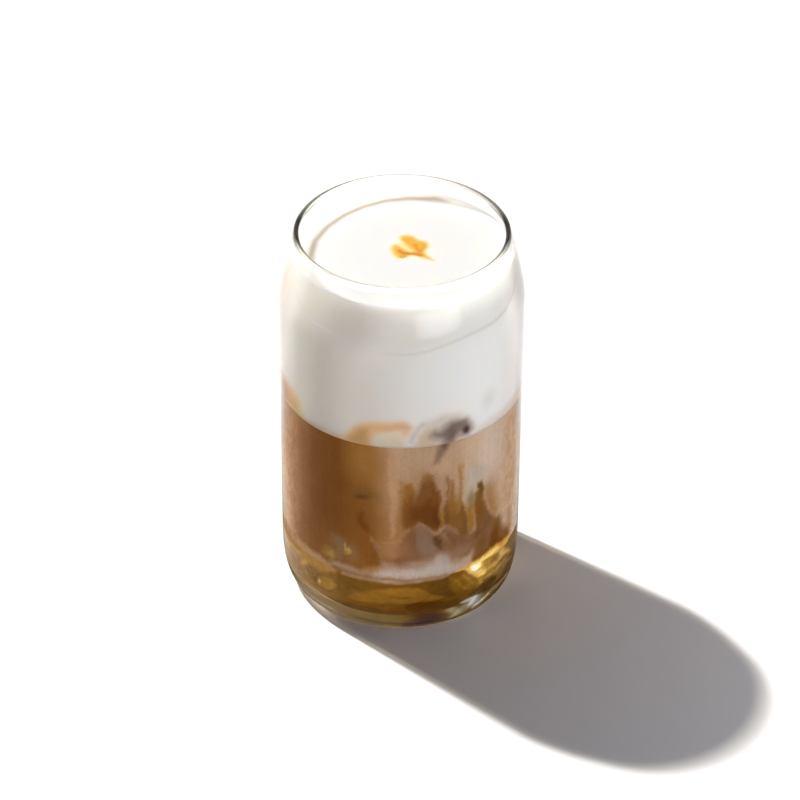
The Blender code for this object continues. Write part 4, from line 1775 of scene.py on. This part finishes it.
@dataclass(frozen=True)
class Cream(Layer):
    """The deep top layer of cold cream, with coffee and ice showing faintly at its foot.

    Its surface is level, and rises a little where it meets the wall, at the layer's top.
    """

    name: ClassVar[str] = "cream"
    node: ClassVar[Node] = Node.CREAM
    slot: ClassVar[Slot] = Slot.CREAM
    finish: ClassVar[PaintedFinish] = PaintedFinish(
        name="cold_cream",
        roughness=0.5,
        glows=True,
        subsurface=1.0,
        subsurface_reach=0.006,
        subsurface_radius=(1.0, 0.9, 0.75),
    )

    front_step: float = 0.6
    rise: float = 0.0010
    rise_width: float = 0.0030
    rise_step: float = 0.1
    foot_inset: float = 0.00015
    foot_depth: float = 0.0006
    bottom_step: float = 0.009
    marbled_up_to: float = 0.092
    marbled_step: float = 0.00035
    plain_step: float = 0.0006
    surface_step: float = 0.0005
    fine_within: float = 0.017
    fine_step: float = 0.0003
    sway: Unevenness = Unevenness(72, 4.0, 21, octaves=3, strength=0.9)
    lift: Unevenness = Unevenness(72, 5.0, 22, octaves=3, strength=0.5)
    uneven_up_to: float = 90.0
    # Painted light along the cream's foot: paler paint and a warm glow, against the shade where its
    # light leaks into the coffee
    foot_painted_light: float = 0.4
    foot_glow: Colour = (0.11, 0.03, 0.004)
    foot_glow_height: float = 0.75
    level_margin: float = 0.01
    edge_margin: float = 0.2
    drop: CaramelDrop = field(kw_only=True)
    # The painted shadow of the rim on the surface: a broad band of grey shade and the beige line at
    # its edge
    rings: tuple[FlatStroke, ...] = (
        FlatStroke(
            ((-27.0, -9.0), (-28.3, -1.0), (-27.2, 6.0), (-24.3, 13.0), (-19.6, 20.0),
             (-13.5, 25.3), (-6.5, 28.8), (1.0, 30.2), (9.0, 29.4), (16.0, 27.0)),
            2.4, ink(226, 222, 217), 0.8,
        ),
        FlatStroke(
            ((-26.6, -11.0), (-27.6, -3.0), (-26.6, 5.0), (-23.2, 12.9), (-18.0, 20.1),
             (-12.0, 25.2), (-5.0, 28.8), (2.2, 30.2), (10.2, 29.8), (17.0, 27.0)),
            0.9, ink(190, 176, 156), 0.9,
        ),
    )

    @property
    def level(self) -> float:
        """Height of the surface, inside the rise at the wall."""
        return self.top - self.rise

    def profile(self) -> Profile:
        """Out along the bottom, up the wall, and in over the surface.

        Returns:
            Radius and height of each point.
        """
        foot = self.wall - self.foot_inset
        bottom = level_line(self.bottom - self.foot_depth, 0.0, foot, self.bottom_step)
        bottom += [(foot, self.bottom), (self.wall, self.bottom)]
        heights = spread(self.bottom, self.marbled_up_to, self.marbled_step)[1:]
        heights += spread(self.marbled_up_to, self.top, self.plain_step)[1:]
        side = [(self.shape.inner_radius(z) + self.reach, z) for z in heights]
        edge = self.shape.inner_radius(self.top)
        meniscus = [
            (edge - self.rise_width * (1 - share), self.level + self.rise * share ** 2)
            for share in spread(1.0, 0.0, self.rise_step)
        ]
        edge -= self.rise_width
        inward = level_line(self.level, edge, self.fine_within, self.surface_step)[1:]
        inward += level_line(self.level, self.fine_within, 0.0, self.fine_step)[1:]
        return bottom + side + meniscus + inward

    def paint(self, mesh: bpy.types.Mesh) -> None:
        """Paints the wall with its marks, and the surface with the drop and the painted shadow of
        the rim.

        Args:
            mesh: The cream's mesh.
        """
        points = points_of(mesh)
        places = Places.of_points(points)
        uneven = places.heights < self.uneven_up_to
        moved = places.moved(self.sway.at(places) * uneven, self.lift.at(places) * uneven)
        # The white with painted shade towards the left and right edges
        colours = np.asarray(CREAM_WHITE) * CREAM_SIDE_SHADE.at(places)
        colours = WALL_LIGHT.laid_over(colours, CREAM_MARKS, moved)
        # Painted light along the foot: the paint is made paler there
        above = np.clip(places.heights - self.bottom / MILLIMETRE, 0.0, None)
        above /= self.foot_glow_height
        colours *= 1.0 + self.foot_painted_light * np.exp(-above)[:, None]
        x, y = points[:, 0] / MILLIMETRE, points[:, 1] / MILLIMETRE
        edge = self.shape.inner_radius(self.top) / MILLIMETRE - self.edge_margin
        on_level = places.heights > self.level / MILLIMETRE - self.level_margin
        on_top = on_level & (np.hypot(x, y) < edge)
        colours[on_top] = self.drop.colour(x[on_top], y[on_top])
        # The painted shadow of the rim
        for ring in self.rings:
            colours = mixed(colours, ring.colour, ring.cover(x, y) * on_top)
        # The painted warm glow along the foot
        set_colours(mesh, GLOW, np.exp(-above ** 2)[:, None] * np.asarray(self.foot_glow))
        set_colours(mesh, PAINT, np.clip(colours, WALL_LIGHT.darkest, 1.0))
        set_number(mesh, WALL, 1.0 - on_top)


def bearing(azimuth: float, elevation: float) -> Vector:
    """The direction to something round the drink.

    Args:
        azimuth: Degrees from the front, the -Y side, towards +X.
        elevation: Degrees above the table.

    Returns:
        A vector of length one.
    """
    around, up = math.radians(azimuth), math.radians(elevation)
    level = math.cos(up)
    return Vector((math.sin(around) * level, -math.cos(around) * level, math.sin(up)))


def standing(azimuth: float, distance: float, height: float) -> Matrix:
    """Where something stands upright and faces the drink.

    Args:
        azimuth: Degrees from the front, the -Y side, towards +X.
        distance: How far from the axis it stands.
        height: Height of its middle above the table.

    Returns:
        Its place and turn, for something that looks along its own -Z.
    """
    away = bearing(azimuth, 0.0)
    turn = away.to_track_quat("Z", "Y").to_matrix().to_4x4()
    return Matrix.Translation(away * distance + Vector((0.0, 0.0, height))) @ turn


def rectangle(name: str, width: float, tall: float, z: float = 0.0) -> bpy.types.Mesh:
    """Makes a flat rectangle that faces up.

    Args:
        name: The mesh's name.
        width: Its size in x.
        tall: Its size in y.
        z: Its height.

    Returns:
        The mesh, with its middle on the axis.
    """
    x, y = width / 2, tall / 2
    mesh = bpy.data.meshes.new(name)
    mesh.from_pydata([(-x, -y, z), (x, -y, z), (x, y, z), (-x, y, z)], [], [(0, 1, 2, 3)])
    return mesh


@dataclass(frozen=True)
class Card:
    """A soft card that stands upright beside the drink and throws light back at it."""

    name: str
    azimuth: float
    distance: float
    height: float
    width: float
    tall: float
    power: float
    colour: Colour

    def build(self) -> None:
        """Stands the card up as a rectangular light that faces the drink."""
        light = bpy.data.lights.new(self.name, "AREA")
        light.shape = "RECTANGLE"
        light.size, light.size_y = self.width, self.tall
        light.energy = self.power
        light.color = self.colour
        lamp = bpy.data.objects.new(self.name, light)
        lamp.matrix_world = standing(self.azimuth, self.distance, self.height)
        lamp.visible_camera = False
        lamp.visible_transmission = False
        lamp.visible_glossy = False
        bpy.context.scene.collection.objects.link(lamp)


@dataclass(frozen=True)
class SoftWindow:
    """A white sheet with soft edges that only shows as a reflection in the glass."""

    name: str
    azimuth: float
    distance: float
    height: float
    width: float
    tall: float
    strength: float
    edge: float = 0.28

    def build(self) -> None:
        """Stands the sheet up beside the drink."""
        sheet = ShaderSheet.of_material(self.name)
        across, up = (self.share_inside(sheet, axis) for axis in ("X", "Y"))
        shine = sheet.add("Emission")
        light = sheet.combine("MULTIPLY", sheet.combine("MULTIPLY", across, up), self.strength)
        sheet.join(light, shine.inputs["Strength"])
        sheet.show(shine.outputs["Emission"])
        mesh = rectangle(self.name, self.width, self.tall)
        mesh.materials.append(sheet.owner)
        pane = bpy.data.objects.new(self.name, mesh)
        pane.matrix_world = standing(self.azimuth, self.distance, self.height)
        for kind in ("camera", "diffuse", "transmission", "shadow", "volume_scatter"):
            setattr(pane, f"visible_{kind}", False)
        bpy.context.scene.collection.objects.link(pane)

    def share_inside(self, sheet: ShaderSheet, axis: str) -> Socket:
        """How far inside the sheet's edges a point lies along an axis, eased from 0 to 1."""
        from_edge = sheet.combine("PINGPONG", sheet.place("Generated", axis), 0.5)
        return sheet.ramp(from_edge, 0.0, self.edge, eased=True)


@dataclass(frozen=True)
class Studio:
    """The table, the lights and the surroundings."""

    table_side: float = 8.0
    table_drop: float = 0.0001
    table_colour: Colour = (0.97, 0.965, 0.96)
    table_roughness: float = 0.9
    table_specular: float = 0.1
    table_in_gloss: float = 0.03
    gloss_dark_up_to: float = 0.03
    gloss_full_from: float = 0.10
    lamp_strength: float = 4.0
    lamp_colour: Colour = (1.0, 0.98, 0.965)
    lamp_radius: float = 0.018
    lamp_distance: float = 1.34
    lamp_elevation: float = 54.9
    lamp_azimuth: float = -129.6
    world_colour: Colour = (0.75, 0.82, 1.0)
    world_strength: float = 0.052
    world_in_glass: Colour = (0.86, 0.85, 0.83)
    cards: tuple[Card, ...] = (
        Card("warm_card", 0.0, 0.5, 0.08, 0.30, 0.14, power=0.32, colour=(1.0, 0.56, 0.22)),
        Card("cool_card", 28.0, 0.4, 0.05, 0.26, 0.09, power=0.54, colour=(0.66, 0.80, 1.0)),
        Card("right_card", 88.0, 0.3, 0.045, 0.24, 0.085, power=0.40, colour=(1.0, 0.94, 0.95)),
    )
    window: SoftWindow = SoftWindow(
        "window", 32.0, 0.3, height=0.079, width=0.27, tall=0.060, strength=3.8
    )

    def build(self) -> None:
        """Sets up everything round the drink."""
        self.lay_table()
        self.hang_lamp()
        for card in self.cards:
            card.build()
        self.window.build()
        self.surround()

    def lay_table(self) -> None:
        """Lays the plain pale table, whose near part is dark in reflections."""
        sheet = ShaderSheet.of_material("pale_table")
        body = sheet.add(
            "BsdfPrincipled",
            Base_Color=(*self.table_colour, 1.0),
            Roughness=self.table_roughness,
            Specular_IOR_Level=self.table_specular,
        )
        behind = sheet.ramp(sheet.place("Object", "Y"), self.gloss_dark_up_to, self.gloss_full_from)
        dark = tuple(part * self.table_in_gloss for part in self.table_colour)
        in_gloss = sheet.add("BsdfDiffuse")
        sheet.join(sheet.mix_colours(behind, dark, self.table_colour), in_gloss.inputs["Color"])
        path = sheet.add("LightPath").outputs
        reflected = sheet.combine("MULTIPLY", path["Is Glossy Ray"], path["Is Reflection Ray"])
        sheet.show(sheet.mix_shaders(reflected, body, in_gloss))
        mesh = rectangle("table", self.table_side, self.table_side, -self.table_drop)
        mesh.materials.append(sheet.owner)
        table = bpy.data.objects.new("table", mesh)
        bpy.context.scene.collection.objects.link(table)

    def hang_lamp(self) -> None:
        """Hangs the hard light behind the drink's left shoulder, as bright near as far off."""
        light = bpy.data.lights.new("hard_light", "POINT")
        light.energy = self.lamp_strength * 4 * math.pi
        light.color = self.lamp_colour
        light.shadow_soft_size = self.lamp_radius
        sheet = ShaderSheet(light)
        even = sheet.add("LightFalloff", Strength=1.0).outputs["Constant"]
        sheet.join(even, sheet.tree.nodes["Emission"].inputs["Strength"])
        lamp = bpy.data.objects.new("hard_light", light)
        lamp.location = bearing(self.lamp_azimuth, self.lamp_elevation) * self.lamp_distance
        lamp.visible_transmission = False
        bpy.context.scene.collection.objects.link(lamp)

    def surround(self) -> None:
        """Gives the surroundings their dim even light, and the picture its plain colours."""
        scene = bpy.context.scene
        scene.world = bpy.data.worlds.new("surroundings")
        sheet = ShaderSheet(scene.world)
        background = sheet.tree.nodes["Background"]
        background.inputs["Strength"].default_value = 1.0
        dim = tuple(part * self.world_strength for part in self.world_colour)
        bounces = sheet.add("LightPath").outputs["Diffuse Depth"]
        lit = sheet.mix_colours(bounces, self.world_in_glass, dim)
        sheet.join(lit, background.inputs["Color"])
        scene.view_settings.view_transform = "Standard"
        scene.view_settings.look = "None"


@dataclass(frozen=True)
class PhotoCamera:
    """The camera at the photograph's place."""

    lens: float = 154.54
    sensor_width: float = 36.0
    clip_start: float = 0.01
    distance: float = 1.083465
    look_down: float = 34.991
    target: tuple[float, float, float] = (-0.000343, 0.0, 0.065254)
    roll: float = 0.4

    def build(self) -> None:
        """Places the camera and makes it the scene's own."""
        camera = bpy.data.cameras.new("photo_camera")
        camera.lens = self.lens
        camera.sensor_width = self.sensor_width
        camera.clip_start = self.clip_start
        back = bearing(0.0, self.look_down)
        right = Vector((1.0, 0.0, 0.0))
        up = back.cross(right)
        lean = math.radians(self.roll)
        leaned_right = right * math.cos(lean) + up * math.sin(lean)
        leaned_up = up * math.cos(lean) - right * math.sin(lean)
        turn = Matrix((leaned_right, leaned_up, back)).transposed().to_4x4()
        place = Vector(self.target) + back * self.distance
        body = bpy.data.objects.new("photo_camera", camera)
        body.matrix_world = Matrix.Translation(place) @ turn
        bpy.context.scene.collection.objects.link(body)
        bpy.context.scene.camera = body


@dataclass(frozen=True)
class Drink:
    """The whole drink, from the glass in."""

    shape: TumblerShape = field(default_factory=TumblerShape.of_frame)
    seam: float = 0.00005

    def build(self) -> None:
        """Makes every piece, and reports each one."""
        _, syrup_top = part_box(Node.SYRUP.value)
        _, latte_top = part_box(Node.LATTE.value)
        _, cream_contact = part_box(Node.CREAM.value)
        shape, drop = self.shape, CaramelDrop(cream_contact.z - Cream.rise)
        makers: tuple[Tumbler | Layer | CaramelDrop, ...] = (
            Tumbler(shape),
            Syrup(shape, shape.floor_height, syrup_top.z + self.seam),
            Latte(shape, syrup_top.z, latte_top.z),
            Cream(shape, latte_top.z, cream_contact.z, drop=drop),
            drop,
        )
        for maker in makers:
            piece = maker.build()
            log.info("%s: %d faces", piece.name, len(piece.data.polygons))


def main() -> None:
    """Builds the drink, the studio and the camera."""
    logging.basicConfig(level=logging.INFO, format="%(name)s: %(message)s")
    Drink().build()
    Studio().build()
    PhotoCamera().build()


if __name__ == "__main__":
    main()
